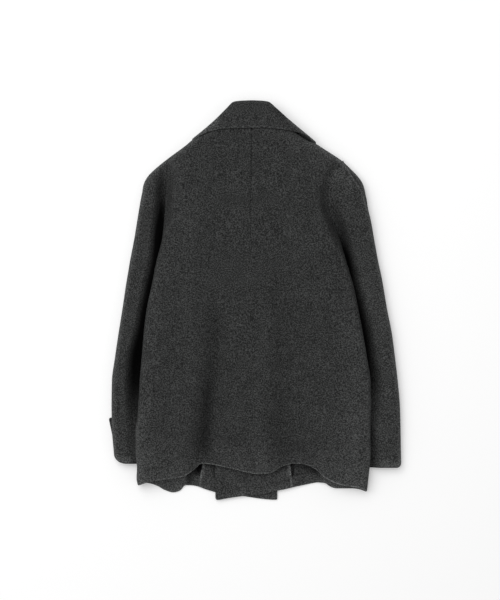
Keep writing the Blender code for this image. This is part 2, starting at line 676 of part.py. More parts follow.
def along_line(points, t):
    """A point at a share of the length of an open line."""
    lengths = [math.hypot(b.x - a.x, b.y - a.y) for a, b in zip(points, points[1:])]
    left = t * sum(lengths)
    for (a, b), length in zip(zip(points, points[1:]), lengths):
        if left <= length:
            return Outline(mix(a.x, b.x, left / length), mix(a.y, b.y, left / length))
        left -= length
    return points[-1]


def collar_front_end(side, share):
    """The collar's front end: down the gorge seam, then along the notch to its tip."""
    start = Outline(side.front_free_x(GORGE_Y), GORGE_Y + GORGE_GAP)
    seam_end = Outline(FRONT_MIDDLE_X + side.sign * GORGE_END.x, GORGE_END.y + GORGE_GAP)
    tip = Outline(FRONT_MIDDLE_X + side.sign * COLLAR_TIP.x, COLLAR_TIP.y)
    return along_line([start, seam_end, tip], share)


def collar_base(side, step, share):
    """Outer surface of the collar at a step round the neck, between its roll (0) and edge (1)."""
    turn = Outline(mix(side.turn[0].x, side.turn[1].x, share),
                   mix(side.turn[0].y, side.turn[1].y, share))
    roll_end, edge_end = side.roll[-1], side.fall_edge[-1]
    above = Outline(mix(roll_end.x, edge_end.x, share), mix(roll_end.y, edge_end.y, share))
    dx, dy = side.turn[1].x - side.turn[0].x, side.turn[1].y - side.turn[0].y
    length = math.hypot(dx, dy)
    inward = (side.sign * dy / length, -side.sign * dx / length)
    below = Outline(turn.x + inward[0] * COLLAR_WRAP, turn.y + inward[1] * COLLAR_WRAP)
    if step <= COLLAR_COLUMNS:
        t = step / COLLAR_COLUMNS
        roll, edge = along_line(side.roll, t), along_line(side.fall_edge, t)
        place, angle = Outline(mix(roll.x, edge.x, share), mix(roll.y, edge.y, share)), 0.0
    elif step <= COLLAR_COLUMNS + WRAP_STEPS:
        angle = math.pi * (step - COLLAR_COLUMNS) / WRAP_STEPS
        foot = above if angle < math.pi / 2 else below
        place = Outline(mix(foot.x, turn.x, math.sin(angle)), mix(foot.y, turn.y, math.sin(angle)))
    else:
        t = (step - COLLAR_COLUMNS - WRAP_STEPS) / COLLAR_FRONT_COLUMNS
        end = collar_front_end(side, share)
        place, angle = Outline(mix(below.x, end.x, t), mix(below.y, end.y, t)), math.pi
    reach = COLLAR_TOP - SHOULDER_HEIGHT if angle < math.pi / 2 else SHOULDER_HEIGHT
    outward = Vector((-inward[0] * math.sin(angle), -inward[1] * math.sin(angle),
                      math.cos(angle)))
    return Vector((place.x, place.y, SHOULDER_HEIGHT + reach * math.cos(angle))), outward


def collar_roll_point(side, step, angle, extra=0.0):
    """On the roll of the collar: angle 0 is its outer side and pi its inner side."""
    start, outward = collar_base(side, step, 0.0)
    end, _ = collar_base(side, step, 1.0)
    down = end - start
    down.z = 0.0
    down.normalize()
    radius = STAND_DROP / 2
    return (start + down * (radius * (1 - math.sin(angle)) + extra)
            - outward * (radius * (1 - math.cos(angle))))


def collar_fall():
    """The fall with its roll, wrapped round to the gorge seams under the fronts."""
    def place(i, j):
        side = LEFT if i < COLLAR_HALF else RIGHT
        step = abs(i - COLLAR_HALF)
        if j <= ROLL_STEPS:
            return collar_roll_point(side, step, math.pi * (1 - j / ROLL_STEPS))
        first = collar_roll_point(side, step, 0.0)
        last, _ = collar_base(side, step, 1.0)
        return first.lerp(last, (j - ROLL_STEPS) / FALL_STEPS)

    def lean(i, j, normal):
        if j > 0:
            return normal
        side = LEFT if i < COLLAR_HALF else RIGHT
        return -collar_base(side, abs(i - COLLAR_HALF), 0.0)[1]

    return sheet("collar_fall", 2 * COLLAR_HALF, ROLL_STEPS + FALL_STEPS, place, COLLAR_CLOTH,
                 material("collar", WOOL, WOOL_ROUGHNESS), turned=True, lean=lean)


def collar_stand():
    """Lies under the fall, from the neck seam up to the roll."""
    def place(i, j):
        side = LEFT if i < STAND_HALF else RIGHT
        step = STAND_REACH * abs(i - STAND_HALF) / STAND_HALF
        top = collar_roll_point(side, step, math.pi, STAND_GAP)
        foot = Vector((mix(CENTRE_BACK[-1].x, top.x, STAND_TAPER), NECK_Y + STAND_ABOVE_SEAM,
                       STAND_HEIGHT))
        return top.lerp(foot, j / STAND_ROWS)

    return sheet("collar_stand", 2 * STAND_HALF, STAND_ROWS, place, COLLAR_CLOTH,
                 material("collar", WOOL, WOOL_ROUGHNESS))


def lapel(side, name, start_y):
    """The turned-back lapel, lying on its outer side under the front."""
    tip = Vector((FRONT_MIDDLE_X + side.sign * LAPEL_TIP.x, LAPEL_TIP.y, 0.0))
    foot = Vector((side.front_free_x(start_y), start_y, 0.0))
    out = Vector((-(tip.y - foot.y), tip.x - foot.x, 0.0)).normalized() * -side.sign

    def place(i, j):
        t = mix(LAPEL_FOOT, 1.0, j / LAPEL_ROWS)
        y = mix(start_y, GORGE_Y, t)
        roll = Vector((side.front_free_x(y), y, 0.0))
        edge = foot.lerp(tip, t) + out * (LAPEL_BELLY * math.sin(math.pi * t))
        return roll.lerp(edge, i / LAPEL_COLUMNS)

    return sheet(name, LAPEL_COLUMNS, LAPEL_ROWS, place, COLLAR_CLOTH,
                 material("collar", WOOL, WOOL_ROUGHNESS), turned=side is RIGHT)


def strap(side, name):
    """The cuff strap lies under the sleeve; its slanted end looks out past the sleeve's edge."""
    tip = side.strap_tip

    def place(i, j):
        across = j / STRAP_ROWS
        y = STRAP_Y + STRAP_WIDTH * (across - 0.5)
        end = tip - side.sign * STRAP_SLANT * (1.0 - across)
        return mix(tip - side.sign * STRAP_LENGTH, end, i / STRAP_COLUMNS), y, 0.0

    return sheet(name, STRAP_COLUMNS, STRAP_ROWS, place, STRAP_CLOTH,
                 material("wool", WOOL, WOOL_ROUGHNESS), turned=side is RIGHT)


def button(name, centre):
    bm = bmesh.new()
    bmesh.ops.create_cone(bm, cap_ends=True, segments=BUTTON_SIDES, radius1=BUTTON_DIAMETER / 2 * MM,
                          radius2=BUTTON_DIAMETER / 2 * MM, depth=BUTTON_HEIGHT * MM)
    rims = [edge for edge in bm.edges if abs(edge.verts[0].co.z - edge.verts[1].co.z) < 1e-6]
    bmesh.ops.bevel(bm, geom=rims, offset=BUTTON_BEVEL * MM, segments=1, profile=0.5,
                    affect="EDGES", material=-1)
    mesh = bpy.data.meshes.new(name)
    bm.to_mesh(mesh)
    bm.free()
    mesh.materials.append(material("button", BUTTON_BLACK, BUTTON_ROUGHNESS))
    piece = bpy.data.objects.new(name, mesh)
    piece.location = (centre[0] * MM, centre[1] * MM, BUTTON_HEIGHT / 2 * MM)
    bpy.context.collection.objects.link(piece)


# ---------------------------------------------------------------- the coat
for half, word in ((LEFT, "left"), (RIGHT, "right")):
    back(half, f"back_{word}")
    front(half, f"front_{word}")
    facing(half, f"facing_{word}")
    sleeve_top(half, f"sleeve_top_{word}")
    sleeve_under(half, f"sleeve_under_{word}")
    strap(half, f"sleeve_strap_{word}")
lapel(LEFT, "lapel_left", BREAK_Y)
lapel(RIGHT, "lapel_right", COVERED_Y)
collar_fall()
collar_stand()
for number, spot in enumerate(BUTTON_CENTRES, 1):
    button(f"button_{number}", spot)
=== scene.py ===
import json
import math
from collections import namedtuple
from functools import lru_cache

import bmesh
import bpy
import numpy as np
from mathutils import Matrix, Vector

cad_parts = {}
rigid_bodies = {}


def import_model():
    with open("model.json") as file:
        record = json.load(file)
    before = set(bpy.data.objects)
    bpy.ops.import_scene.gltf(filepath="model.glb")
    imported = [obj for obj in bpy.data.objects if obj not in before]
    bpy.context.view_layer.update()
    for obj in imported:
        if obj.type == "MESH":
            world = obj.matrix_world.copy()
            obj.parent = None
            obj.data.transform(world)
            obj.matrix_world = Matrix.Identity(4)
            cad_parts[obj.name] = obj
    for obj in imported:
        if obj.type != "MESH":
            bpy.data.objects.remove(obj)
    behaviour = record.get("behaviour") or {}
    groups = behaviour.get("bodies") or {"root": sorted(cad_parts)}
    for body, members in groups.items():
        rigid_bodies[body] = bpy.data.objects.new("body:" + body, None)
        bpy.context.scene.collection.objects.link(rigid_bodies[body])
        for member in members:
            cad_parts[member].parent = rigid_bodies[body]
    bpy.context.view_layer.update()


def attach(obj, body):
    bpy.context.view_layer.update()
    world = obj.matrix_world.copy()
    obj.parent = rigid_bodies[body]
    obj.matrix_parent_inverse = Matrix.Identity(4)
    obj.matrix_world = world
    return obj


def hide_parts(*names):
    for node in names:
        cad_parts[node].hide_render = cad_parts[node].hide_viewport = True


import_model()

MM = 0.001


def table(kind, rows):
    """Rows of numbers with the columns of a namedtuple."""
    return [kind(*row) for row in rows]


# ---------------------------------------------------------------- cloth and fastenings
CLOTH = 2.4            # melton wool
HEM_CLOTH = 4.6        # where a hem is turned up
FACING_CLOTH = 2.0
COLLAR_CLOTH = 4.4     # two layers of melton and a canvas
STRAP_CLOTH = 3.0
SEAM = 0.3             # gap between two pieces at a seam; the halves of the back overlap instead
FACING_GAP = 0.5       # between a front and its facing
BUTTON_HEIGHT = 4.4
BUTTON_CLEAR = 0.6       # between the buttons and the front that lies on them
BUTTON_COUNT = 6

# ---------------------------------------------------------------- how the cloth lies
SHOULDER_HEIGHT = 19.0   # where back and front meet along the shoulder
SHOULDER_ROUND = 17.0
SIDE_ROUND = 10.0        # at the side seam
SOFT_SIDE_ROUND = 22.0   # higher up, where the armhole lies in a soft hollow
LEFT_SOFT_SIDE_Y, RIGHT_SOFT_SIDE_Y = 120.0, 88.0   # where that hollow starts
SOFT_SIDE_LENGTH = 75.0
FRONT_SIDE_ROUND = 17.0
UNDERARM_Y = 80.0        # below this the body's side is closed by its side seam
SLEEVE_CLOSES_Y = 57.0   # below this the sleeve is a closed tube that lies under the body
SLEEVE_FOLD = 13.0       # height of the sleeve's outer fold
FOLD_RISES_Y = 100.0     # from here that fold climbs to the shoulder seam
FOLD_RISE_LENGTH = 120.0
SLEEVE_ROUND = 15.0
SLEEVE_SLOPE = 16.0      # width of the sleeve's fall towards the body
HEAD_SLOPE = 4.0         # what is left of that width at the sleeve's head
HEAD_SLOPE_Y, HEAD_SLOPE_LENGTH = 300.0, 60.0
HOLLOW_DEPTH = 5.0       # the sleeve sinks this much more beside the body
ARMHOLE_MEET = 20.0      # over this width the sleeve comes up to the body at the armhole
SHADE_AHEAD = 0.4        # the painted shadow beside the body starts this share of its width early
BACK_ROUND_FROM = 0.35   # share of the way out from the seam at which the back starts to turn
BACK_ROUND_OVER = 0.5
INNER_ROUND = 8.0        # at the sleeve's hidden inner fold
INNER_SLOPE = 34.0
UPPER_SLOPE = 34.0
CUFF_SLOPE = 34.0
CUFF_CLEAR = 16.0
SLEEVE_CLEAR = 2.6
LAYER_SLOPE = 60.0
LAYER_MARGIN = 12.0
LAYER_GAP = 1.0
STRAP_SLOPE = 34.0
HEM_TURN = 27.0          # width of the turned-up hem of the back
FRONT_HEM_TURN = 23.0
CUFF_TURN = 19.0
FACING_DROP = 2.0        # a facing ends this far above the front's hem
FACING_WIDTH = 159.0     # at the hem
# Below the underarm the top sleeve goes on for this share of the way to the inner fold.
HIDDEN_SEAM_SHARE, HIDDEN_SEAM_LENGTH = 0.35, 70.0

# Each cuff rounds up at its outer fold: over how wide a stretch, and how far.
CuffCorner = namedtuple("CuffCorner", "width lift")
LEFT_CUFF_CORNER, RIGHT_CUFF_CORNER = CuffCorner(26.0, 17.0), CuffCorner(9.0, 10.0)

# Front edge, lapel and collar
NECK_Y = 373.0           # centre-back neck seam
LEFT_EDGE_X, RIGHT_EDGE_X = 46.2, -84.0
LEFT_CUFF_Y, RIGHT_CUFF_Y = -341.5, -350.0
BREAK_Y = 115.0          # where the lapels start to roll back
COVERED_Y = 238.0        # the right front covers its own lapel below this
LAPEL_LIFT = COLLAR_CLOTH + LAYER_GAP
LAPEL_REACH = 112.0
LAPEL_RAMP = 110.0
LAPEL_BELLY = 10.0
LAPEL_FOOT = 0.06
OWN_LAPEL_START = 110.0
ROLL_LIFT = 14.5
ROLL_START = 170.0
ROLL_REACH = 44.0
ROLL_SLOPE_ACROSS, ROLL_SLOPE_ALONG = 32.0, 40.0
FRONT_MIDDLE_X = -7.0
GORGE_Y = 322.0
GORGE_GAP = 1.5
COLLAR_TOP = 40.0        # height of the fall's upper side
COLLAR_CLEAR = 0.15      # between the fall and the back
COLLAR_WRAP = 14.0
LEFT_COLLAR_BOW, RIGHT_COLLAR_BOW = 0.6, 0.8   # how far its turned sides curve inwards
STAND_DROP = 12.5        # thickness of the collar's roll
STAND_HEIGHT = 27.5
STAND_GAP = 0.8
STAND_REACH = 0.8        # it ends at this share of the fall's upper side
STAND_ABOVE_SEAM = 2.0
STAND_TAPER = 0.95
STAND_COLUMNS, STAND_ROWS = 24, 10
COLLAR_BELLY = 1.2       # the fall rises this much between its fold and its edge
BOW_SCALE = 6.75         # brings the peak of the bow's curve to 1

# Cuff straps
STRAP_WIDTH = 40.0
STRAP_Y = -266.0
STRAP_LENGTH = 105.0
STRAP_SLANT = 8.5
STRAP_CLEAR = 33.0
STRAP_GAP = 0.5          # between the strap and the sleeve on it
STRAP_CORNER = 5.0
LEFT_STRAP_TIP, RIGHT_STRAP_TIP = -309.2, 296.0

# ---------------------------------------------------------------- outlines
# One row for each level of the coat, seen from above.
# body: side seam or armhole; sleeve: outer fold of the sleeve; drop: where the sleeve falls away
# towards the body; inner: hidden inner fold of the sleeve; crest, valley: heights of the sleeve's
# top before and after the drop; fold: height of the body's side fold; edge: height of the back
# just inside that fold; dark: how deep the painted shadow beside the body is, which also sinks the
# sleeve there; soft: how wide that painted shadow's edge is.
Level = namedtuple("Level", "y body sleeve drop inner crest valley fold edge dark soft")
LEFT_LEVELS = table(Level, [
    (-390, -246.3, -295.0, -250.0, -153.0, 19, 14, 10, 29, 0.08, 18),
    (-372, -248.8, -295.0, -251.0, -153.0, 20, 15, 18, 35, 0.08, 18),
    (-349, -247.3, -295.0, -252.0, -153.0, 21, 16, 27, 40, 0.08, 18),
    (-319, -249.9, -297.0, -262.0, -150.0, 23, 17, 30, 44, 0.10, 20),
    (-269, -249.9, -301.0, -262.0, -142.0, 26, 17, 30, 46, 0.20, 26),
    (-243, -246.0, -301.5, -264.0, -138.0, 27, 16, 29, 46, 0.46, 24),
    (-218, -244.8, -301.8, -266.0, -134.0, 28, 15, 28, 46, 0.65, 22),
    (-193, -242.8, -301.5, -266.5, -130.0, 30, 14, 28, 46, 0.84, 20),
    (-168, -241.5, -301.0, -267.0, -126.0, 31, 13, 28, 46, 0.96, 18),
    (-118, -237.3, -294.4, -263.0, -120.0, 32, 13, 28, 46, 1.0, 14),
    (-67, -233.1, -286.9, -249.0, -118.0, 33, 13, 28, 46, 1.0, 11),
    (-17, -226.8, -278.9, -239.0, -136.0, 33, 13, 28, 46, 1.0, 9),
    (34, -216.3, -271.3, -228.0, -178.0, 33, 13, 25, 46, 1.0, 9),
    (57, -212.0, -267.4, -222.5, -196.0, 33, 13, 20, 46, 1.0, 8),
    (80, -208.0, -263.6, -217.5, -190.0, 33, 13, 12, 46, 1.0, 8),
    (134, -195.0, -253.3, -212.0, -190.0, 33, 13, 12, 46, 1.0, 8),
    (185, -190.5, -244.7, -207.0, -190.0, 34, 13, 12, 46, 0.75, 14),
    (227, -188.0, -236.9, -202.0, -190.0, 35, 17, 15, 45, 0.28, 18),
    (260, -185.9, -225.3, -197.0, -190.0, 35, 28, 25, 43, 0.05, 20),
    (297, -184.0, -192.0, -190.0, -190.0, 34, 34, 31, 40, 0.0, 20),
])
RIGHT_LEVELS = table(Level, [
    (-401, 234.5, 306.6, 252.0, 162.0, 20, 13, 9, 28, 0.20, 12),
    (-353, 238.5, 306.6, 254.0, 162.0, 22, 14, 23, 36, 0.40, 14),
    (-319, 241.0, 305.6, 255.0, 156.0, 24, 14, 28, 42, 0.30, 14),
    (-269, 240.3, 304.7, 249.0, 144.0, 27, 16, 29, 46, 0.33, 12),
    (-244, 240.8, 304.2, 253.0, 138.0, 28, 15, 28, 46, 0.12, 22),
    (-218, 241.8, 303.2, 256.0, 132.0, 29, 14, 28, 46, 0.30, 38),
    (-168, 240.5, 298.8, 258.5, 122.0, 31, 13, 28, 46, 0.73, 33),
    (-118, 233.1, 293.0, 249.5, 112.0, 32, 13, 28, 46, 0.97, 26),
    (-67, 224.6, 286.2, 242.0, 108.0, 33, 13, 28, 46, 0.97, 22),
    (-17, 215.0, 276.4, 230.0, 120.0, 33, 13, 28, 46, 0.97, 24),
    (34, 204.6, 267.8, 216.0, 162.0, 33, 13, 25, 46, 0.97, 25),
    (57, 198.0, 263.4, 212.0, 180.5, 33, 13, 20, 46, 0.96, 22),
    (80, 191.5, 258.3, 205.5, 175.0, 33, 13, 12, 46, 0.91, 16),
    (134, 175.8, 248.4, 190.5, 160.0, 34, 13, 12, 46, 0.43, 20),
    (164, 165.0, 243.0, 180.0, 160.0, 35, 17, 15, 45, 0.18, 22),
    (193, 153.3, 236.5, 172.0, 160.0, 35, 25, 22, 45, 0.07, 22),
    (221, 151.2, 231.6, 170.0, 160.0, 35, 29, 26, 44, 0.02, 22),
    (256, 159.6, 218.4, 170.0, 160.0, 35, 32, 29, 42, 0.0, 22),
    (293.5, 181.0, 187.0, 184.0, 160.0, 34, 34, 31, 40, 0.0, 22),
])
# The shoulder and sleeve-head outline from the neck out, then on down the sleeve.
Outline = namedtuple("Outline", "x y")
LEFT_SHOULDER = table(Outline, [
    (-77, 369), (-127.3, 339.8), (-143.4, 327), (-160, 314.5), (-184, 297), (-208, 277.5),
    (-225.3, 260.4), (-234, 243.6), (-236.9, 226.8)])
RIGHT_SHOULDER = table(Outline, [
    (61, 368), (107, 337), (123, 331), (149, 314.5), (181, 293.5), (199, 277), (215, 260.4),
    (226, 243.6), (231.6, 220.5)])

SHOULDER_END_ROW = 4     # the row of both where the shoulder seam ends
SHOULDER_CURVE_STEPS, COLLAR_CURVE_STEPS = 6, 8   # steps between two rows of a curved line

# The centre-back seam, from the hem up.
CENTRE_BACK = table(Outline, [
    (-21, -357), (-15.3, -65), (-14.3, 13), (-11.3, 103), (-9.2, 216), (-8, 374)])

# Height of the middle of the back along its length.
Crown = namedtuple("Crown", "y height")
CROWN = table(Crown, [
    (-410, 17.5), (-360, 19.5), (-320, 25.5), (-250, 30), (-100, 30), (50, 31), (200, 33),
    (300, 35), (376, 31)])

# Hem of the back, and the hems of the two fronts.
Hem = namedtuple("Hem", "x y")
BACK_HEM = table(Hem, [
    (-246, -387.5), (-216, -378), (-190, -373.8), (-149, -368.3), (-138.5, -362.4), (-128, -354.9),
    (-121.5, -349), (-115, -342.6), (-108, -341.8), (-101, -342.4), (-88, -344.2), (-40, -354.3),
    (8, -363.3), (34, -360.8), (51, -350.3), (63, -345.2), (79, -341.5), (95, -341.9),
    (109, -345.2), (122, -351.3), (145, -370.4), (174, -383.5), (220, -392.3), (234.5, -400)])
LEFT_FRONT_HEM = table(Hem, [
    (-246, -387), (-236, -383.4), (-226, -381.8), (-215, -384.3), (-208, -388), (-190, -398.5),
    (-173, -403.4), (-160, -400.4), (-153.5, -395), (-148.5, -387.4), (-137, -387.8),
    (-118, -391.5), (-86, -402.4), (-25, -411.5), (43.5, -419), (46.2, -417)])
RIGHT_FRONT_HEM = table(Hem, [
    (-84, -414.9), (-82.6, -417.4), (-79.5, -418.6), (-61, -415.5), (-25, -410.4), (8, -408.2),
    (46, -399.3), (61, -396.3), (79, -392), (108, -386.3), (129, -382.5), (146, -382),
    (158, -389.8), (171, -393.6), (206, -393.8), (235, -401)])

# Soft folds: where each runs, how wide it is and how deep (a ridge is negative).
Fold = namedtuple("Fold", "y x half_width depth")
LEFT_TROUGH = table(Fold, [
    (20, -97, 26, 0), (-27, -96.6, 24, 3), (-141, -94.5, 24, 6), (-210, -101, 22, 9),
    (-309, -114, 22, 11), (-345, -109, 26, 5)])
RIGHT_TROUGH = table(Fold, [
    (60, 52, 30, 0), (0, 54.6, 34, 3), (-105, 52, 34, 5), (-189, 40, 30, 7), (-300, 47, 30, 9),
    (-345, 70, 30, 5)])
MIDDLE_RIDGE = table(Fold, [
    (-100, -30, 34, 0), (-200, -34, 34, -3), (-300, -40, 34, -5), (-355, -30, 34, -2)])
LEFT_RIDGE = table(Fold, [
    (-100, -160, 30, 0), (-220, -160, 30, -2), (-320, -165, 30, -3), (-370, -165, 30, -2)])
RIGHT_RIDGE = table(Fold, [
    (-60, 120, 32, 0), (-200, 124, 32, -3), (-320, 130, 32, -3), (-370, 140, 32, -2)])
EDGE_RIDGE = table(Fold, [
    (-300, 217, 7, 0), (-335, 218, 6, -1.6), (-360, 218.5, 6, -1.8), (-385, 219, 6, 0)])
BACK_FOLDS = (LEFT_TROUGH, RIGHT_TROUGH, MIDDLE_RIDGE, LEFT_RIDGE, RIGHT_RIDGE, EDGE_RIDGE)

# Soft painted shade over the top of each armhole: here the depth is how dark it is.
LEFT_ARM_SHADE = table(Fold, [
    (300, -188, 12, 0), (283, -190.5, 12, 0.05), (260, -196, 13, 0.20), (235, -197.5, 12, 0.28),
    (210, -197, 11, 0.28), (185, -199, 10, 0.25), (160, -203, 9, 0.2), (128, -206, 8, 0.1),
    (100, -208, 8, 0)])
RIGHT_ARM_SHADE = table(Fold, [
    (238, 144, 16, 0), (210, 156, 18, 0.17), (185, 165, 20, 0.20), (160, 173, 20, 0.23),
    (134, 182, 18, 0.28), (108, 190, 14, 0.24), (80, 198, 11, 0.10), (50, 206, 10, 0)])

# Painted shade and light in the soft folds of the back: here too the depth is how dark or light it
# is.
LEFT_TROUGH_SHADE = table(Fold, [
    (20, -84, 14, 0), (-31, -84, 14, 0.12), (-94, -88, 14, 0.22), (-157, -95, 14, 0.24),
    (-220, -101, 13, 0.32), (-283, -104, 13, 0.26), (-330, -109, 14, 0.08), (-350, -110, 14, 0)])
RIGHT_TROUGH_LIGHT = table(Fold, [
    (0, 22, 16, 0), (-50, 22, 16, 0.2), (-110, 21, 16, 0.3), (-157, 18, 18, 0.45),
    (-220, 10, 26, 0.55), (-300, 10, 27, 0.6), (-350, 10, 30, 0.3)])

# The edge of the upper layer of the right sleeve's head, which stops just short of its fold.
HEAD_LAYER = table(Outline, [
    (176, 297), (184, 287), (195, 270.2), (201.4, 257.7), (212, 243.2), (220.3, 228.6),
    (225.9, 214.1), (230.5, 198), (235, 186)])

# The collar fall on the back: its top fold and its outer edge, out to where they start to turn,
# and the line about which they turn under to the front.
LEFT_ROLL = table(Outline, [(-8, 418), (-33, 416.9), (-46.5, 414.4), (-52.6, 408.5)])
LEFT_FALL_EDGE = table(Outline, [(-8, 360.6), (-61, 358.7), (-92, 354), (-111.5, 345.8)])
LEFT_TURN = table(Outline, [(-83.5, 376.6), (-133.5, 338.1)])
RIGHT_ROLL = table(Outline, [(-8, 418), (15, 417), (28.5, 414.5), (35.2, 408.6)])
RIGHT_FALL_EDGE = table(Outline, [(-8, 360.6), (36, 359.7), (85, 352.5), (108.5, 342.8)])
RIGHT_TURN = table(Outline, [(71.5, 376.6), (128.2, 331.2)])
# Collar tip, end of the gorge seam and lapel tip, measured out from the middle of the fronts.
COLLAR_TIP = Outline(131, 298)
GORGE_END = Outline(105, 290)
LAPEL_TIP = Outline(135, 268)
# Inner edges of the two facings, from the hem up.
LEFT_FACING = table(Outline, [
    (-120, -393), (-119, -378), (-116, -368.5), (-115.3, -361), (-112.2, -353), (-111.1, -346),
    (-111, -310), (-112.8, -260), (-112.8, 115)])
RIGHT_FACING = table(Outline, [
    (79.8, -393), (78.3, -382), (76.2, -371), (74.6, -355), (73.6, -342), (75, -310), (77, -260),
    (77, 115)])
# The part of the fronts that lies on the buttons.
BUTTON_FIELD = (Outline(-78, -212), Outline(60, 52))

# Grooves along a seam or a hem: how far from it they run, how wide and how deep they are (a
# ridge is negative).
Groove = namedtuple("Groove", "away half_width depth")
CENTRE_SEAM = Groove(0.0, 2.2, 1.3)
BESIDE_SEAM = Groove(9.0, 5.0, -0.5)
HEM_LINE = Groove(HEM_TURN, 2.5, 0.9)
HEM_BODY = Groove(12.0, 9.0, -0.7)
FACING_EDGE = Groove(14.0, 2.0, 0.8)
SEAM_FAINT = 0.2         # share of the centre seam's groove that is left near the hem
SEAM_SHARP_Y, SEAM_SHARP_LENGTH = -90.0, 260.0
# The upper layer of the right sleeve's head: its step, and the stretch it runs over.
HEAD_STEP = 3.0
HEAD_MIDDLE_Y, HEAD_HALF, HEAD_END = 245.0, 68.75, 15.0


# ---------------------------------------------------------------- small helpers
def smooth(t):
    """0 to 1 with soft ends."""
    t = np.clip(t, 0.0, 1.0)
    return t * t * (3.0 - 2.0 * t)


def mix(a, b, t):
    return a + (b - a) * t


def rounded(distance, reach):
    """0 on an edge, rising like a quarter circle to 1 at `reach` from it."""
    t = 1.0 - np.clip(distance / reach, 0.0, 1.0)
    return np.sqrt(np.maximum(0.0, 1.0 - t * t))


def bump(distance, half_width):
    """1 on a line, fading away from it."""
    return np.exp(-(distance / half_width) ** 2)


def follow(rows, at, column, key="y"):
    """Reads a column of a table at every place in `at`, with a smooth curve through its rows."""
    rows = sorted(rows, key=lambda row: getattr(row, key))
    places = np.array([getattr(row, key) for row in rows], float)
    values = np.array([getattr(row, column) for row in rows], float)
    widths = np.diff(places)
    steps = np.diff(values) / widths
    before, after = steps[:-1], steps[1:]
    rising = before * after > 0.0
    total = np.where(rising, before + after, 1.0)
    inner = np.where(rising, 2.0 * before * after / total, 0.0)
    slopes = np.concatenate(([steps[0]], inner, [steps[-1]]))
    at = np.clip(at, places[0], places[-1])
    k = np.clip(np.searchsorted(places, at, side="right") - 1, 0, len(widths) - 1)
    width = widths[k]
    t = (at - places[k]) / width
    return (values[k] * (1 + 2 * t) * (1 - t) ** 2 + slopes[k] * width * t * (1 - t) ** 2
            + values[k + 1] * t * t * (3 - 2 * t) - slopes[k + 1] * width * t * t * (1 - t))


def groove_at(groove, distance):
    return groove.depth * bump(distance - groove.away, groove.half_width)


def between(a, b, t):
    """The point at a share t of the way from one Outline point to another."""
    return Outline(mix(a.x, b.x, t), mix(a.y, b.y, t))


def fold_at(rows, x, y):
    """Depth of a soft fold at each place."""
    across = (x - follow(rows, y, "x")) / follow(rows, y, "half_width")
    return follow(rows, y, "depth") * np.exp(-across ** 2)


def away_from_line(x, y, line):
    """Distance from each place to an open line of Outline points."""
    best = np.full(np.broadcast(x, y).shape, 1e9)
    for a, b in zip(line, line[1:]):
        dx, dy = b.x - a.x, b.y - a.y
        t = np.clip(((x - a.x) * dx + (y - a.y) * dy) / (dx * dx + dy * dy), 0.0, 1.0)
        best = np.minimum(best, np.hypot(x - a.x - t * dx, y - a.y - t * dy))
    return best


def beyond_line(x, y, line):
    """How far each place lies outside a line that runs down the coat: the right side is outside."""
    rows = sorted(line, key=lambda p: p.y)
    return x - np.interp(y, [p.y for p in rows], [p.x for p in rows])


def smooth_line(points, steps):
    """Points along a soft curve through the given Outline points."""
    line = []
    for k in range(len(points) - 1):
        a = points[max(k - 1, 0)]
        b, c = points[k], points[k + 1]
        d = points[min(k + 2, len(points) - 1)]
        for n in range(steps):
            t = n / steps
            weights = (-t + 2 * t * t - t ** 3, 2 - 5 * t * t + 3 * t ** 3,
                       t + 4 * t * t - 3 * t ** 3, -t * t + t ** 3)
            line.append(Outline(sum(w * p.x for w, p in zip(weights, (a, b, c, d))) / 2,
                                sum(w * p.y for w, p in zip(weights, (a, b, c, d))) / 2))
    line.append(points[-1])
    return line


def over_buttons(x, y):
    """1 where a front rests on its buttons, 0 away from them."""
    side = np.maximum(np.maximum(BUTTON_FIELD[0].x - x, x - BUTTON_FIELD[1].x), 0.0)
    end = np.maximum(np.maximum(BUTTON_FIELD[0].y - y, y - BUTTON_FIELD[1].y), 0.0)
    return smooth(1.0 - np.hypot(side, end) / LAYER_SLOPE)


# ---------------------------------------------------------------- painted light and shade on the cloth
# Shade and light are painted into the cloth's colour through each piece's dark and light
# attributes: painted shadows in gaps, folds, creases and under edges, painted highlights along
# folds and edges, and painted light over whole stretches.
# A band reads one of the distances that the piece hands over by name: x, y, middle (out from
# x = 0), hem, seam, side, shoulder, collar, facing, free and inner (the edges of a facing), cuff,
# fold, turn, roll, edge, beyond (past the layer at the sleeve's head) and below (the back's hem).
def tint(strength, *bands):
    """A painted shade or light: how strong it is, and the bands that it is bounded by."""
    return strength, bands


def past(of, start, width):
    """0 up to start, growing to 1 over this width."""
    return lambda at: smooth((at[of] - start) / width)


def short_of(of, start, width):
    """0 from start on, growing to 1 over this width before it."""
    return lambda at: smooth((start - at[of]) / width)


def within(of, reach):
    """1 on an edge, 0 from this reach on."""
    return short_of(of, reach, reach)


def near(of, line, half_width):
    """1 on a line, fading on both sides of it."""
    return lambda at: bump(at[of] - line, half_width)


def folds(rows):
    """As strong as the folds of a table are deep."""
    return lambda at: fold_at(rows, at["x"], at["y"])


def painted(tints, at):
    """Adds up tints at the places whose distances are in `at`."""
    return sum(strength * math.prod(band(at) for band in bands) for strength, bands in tints)


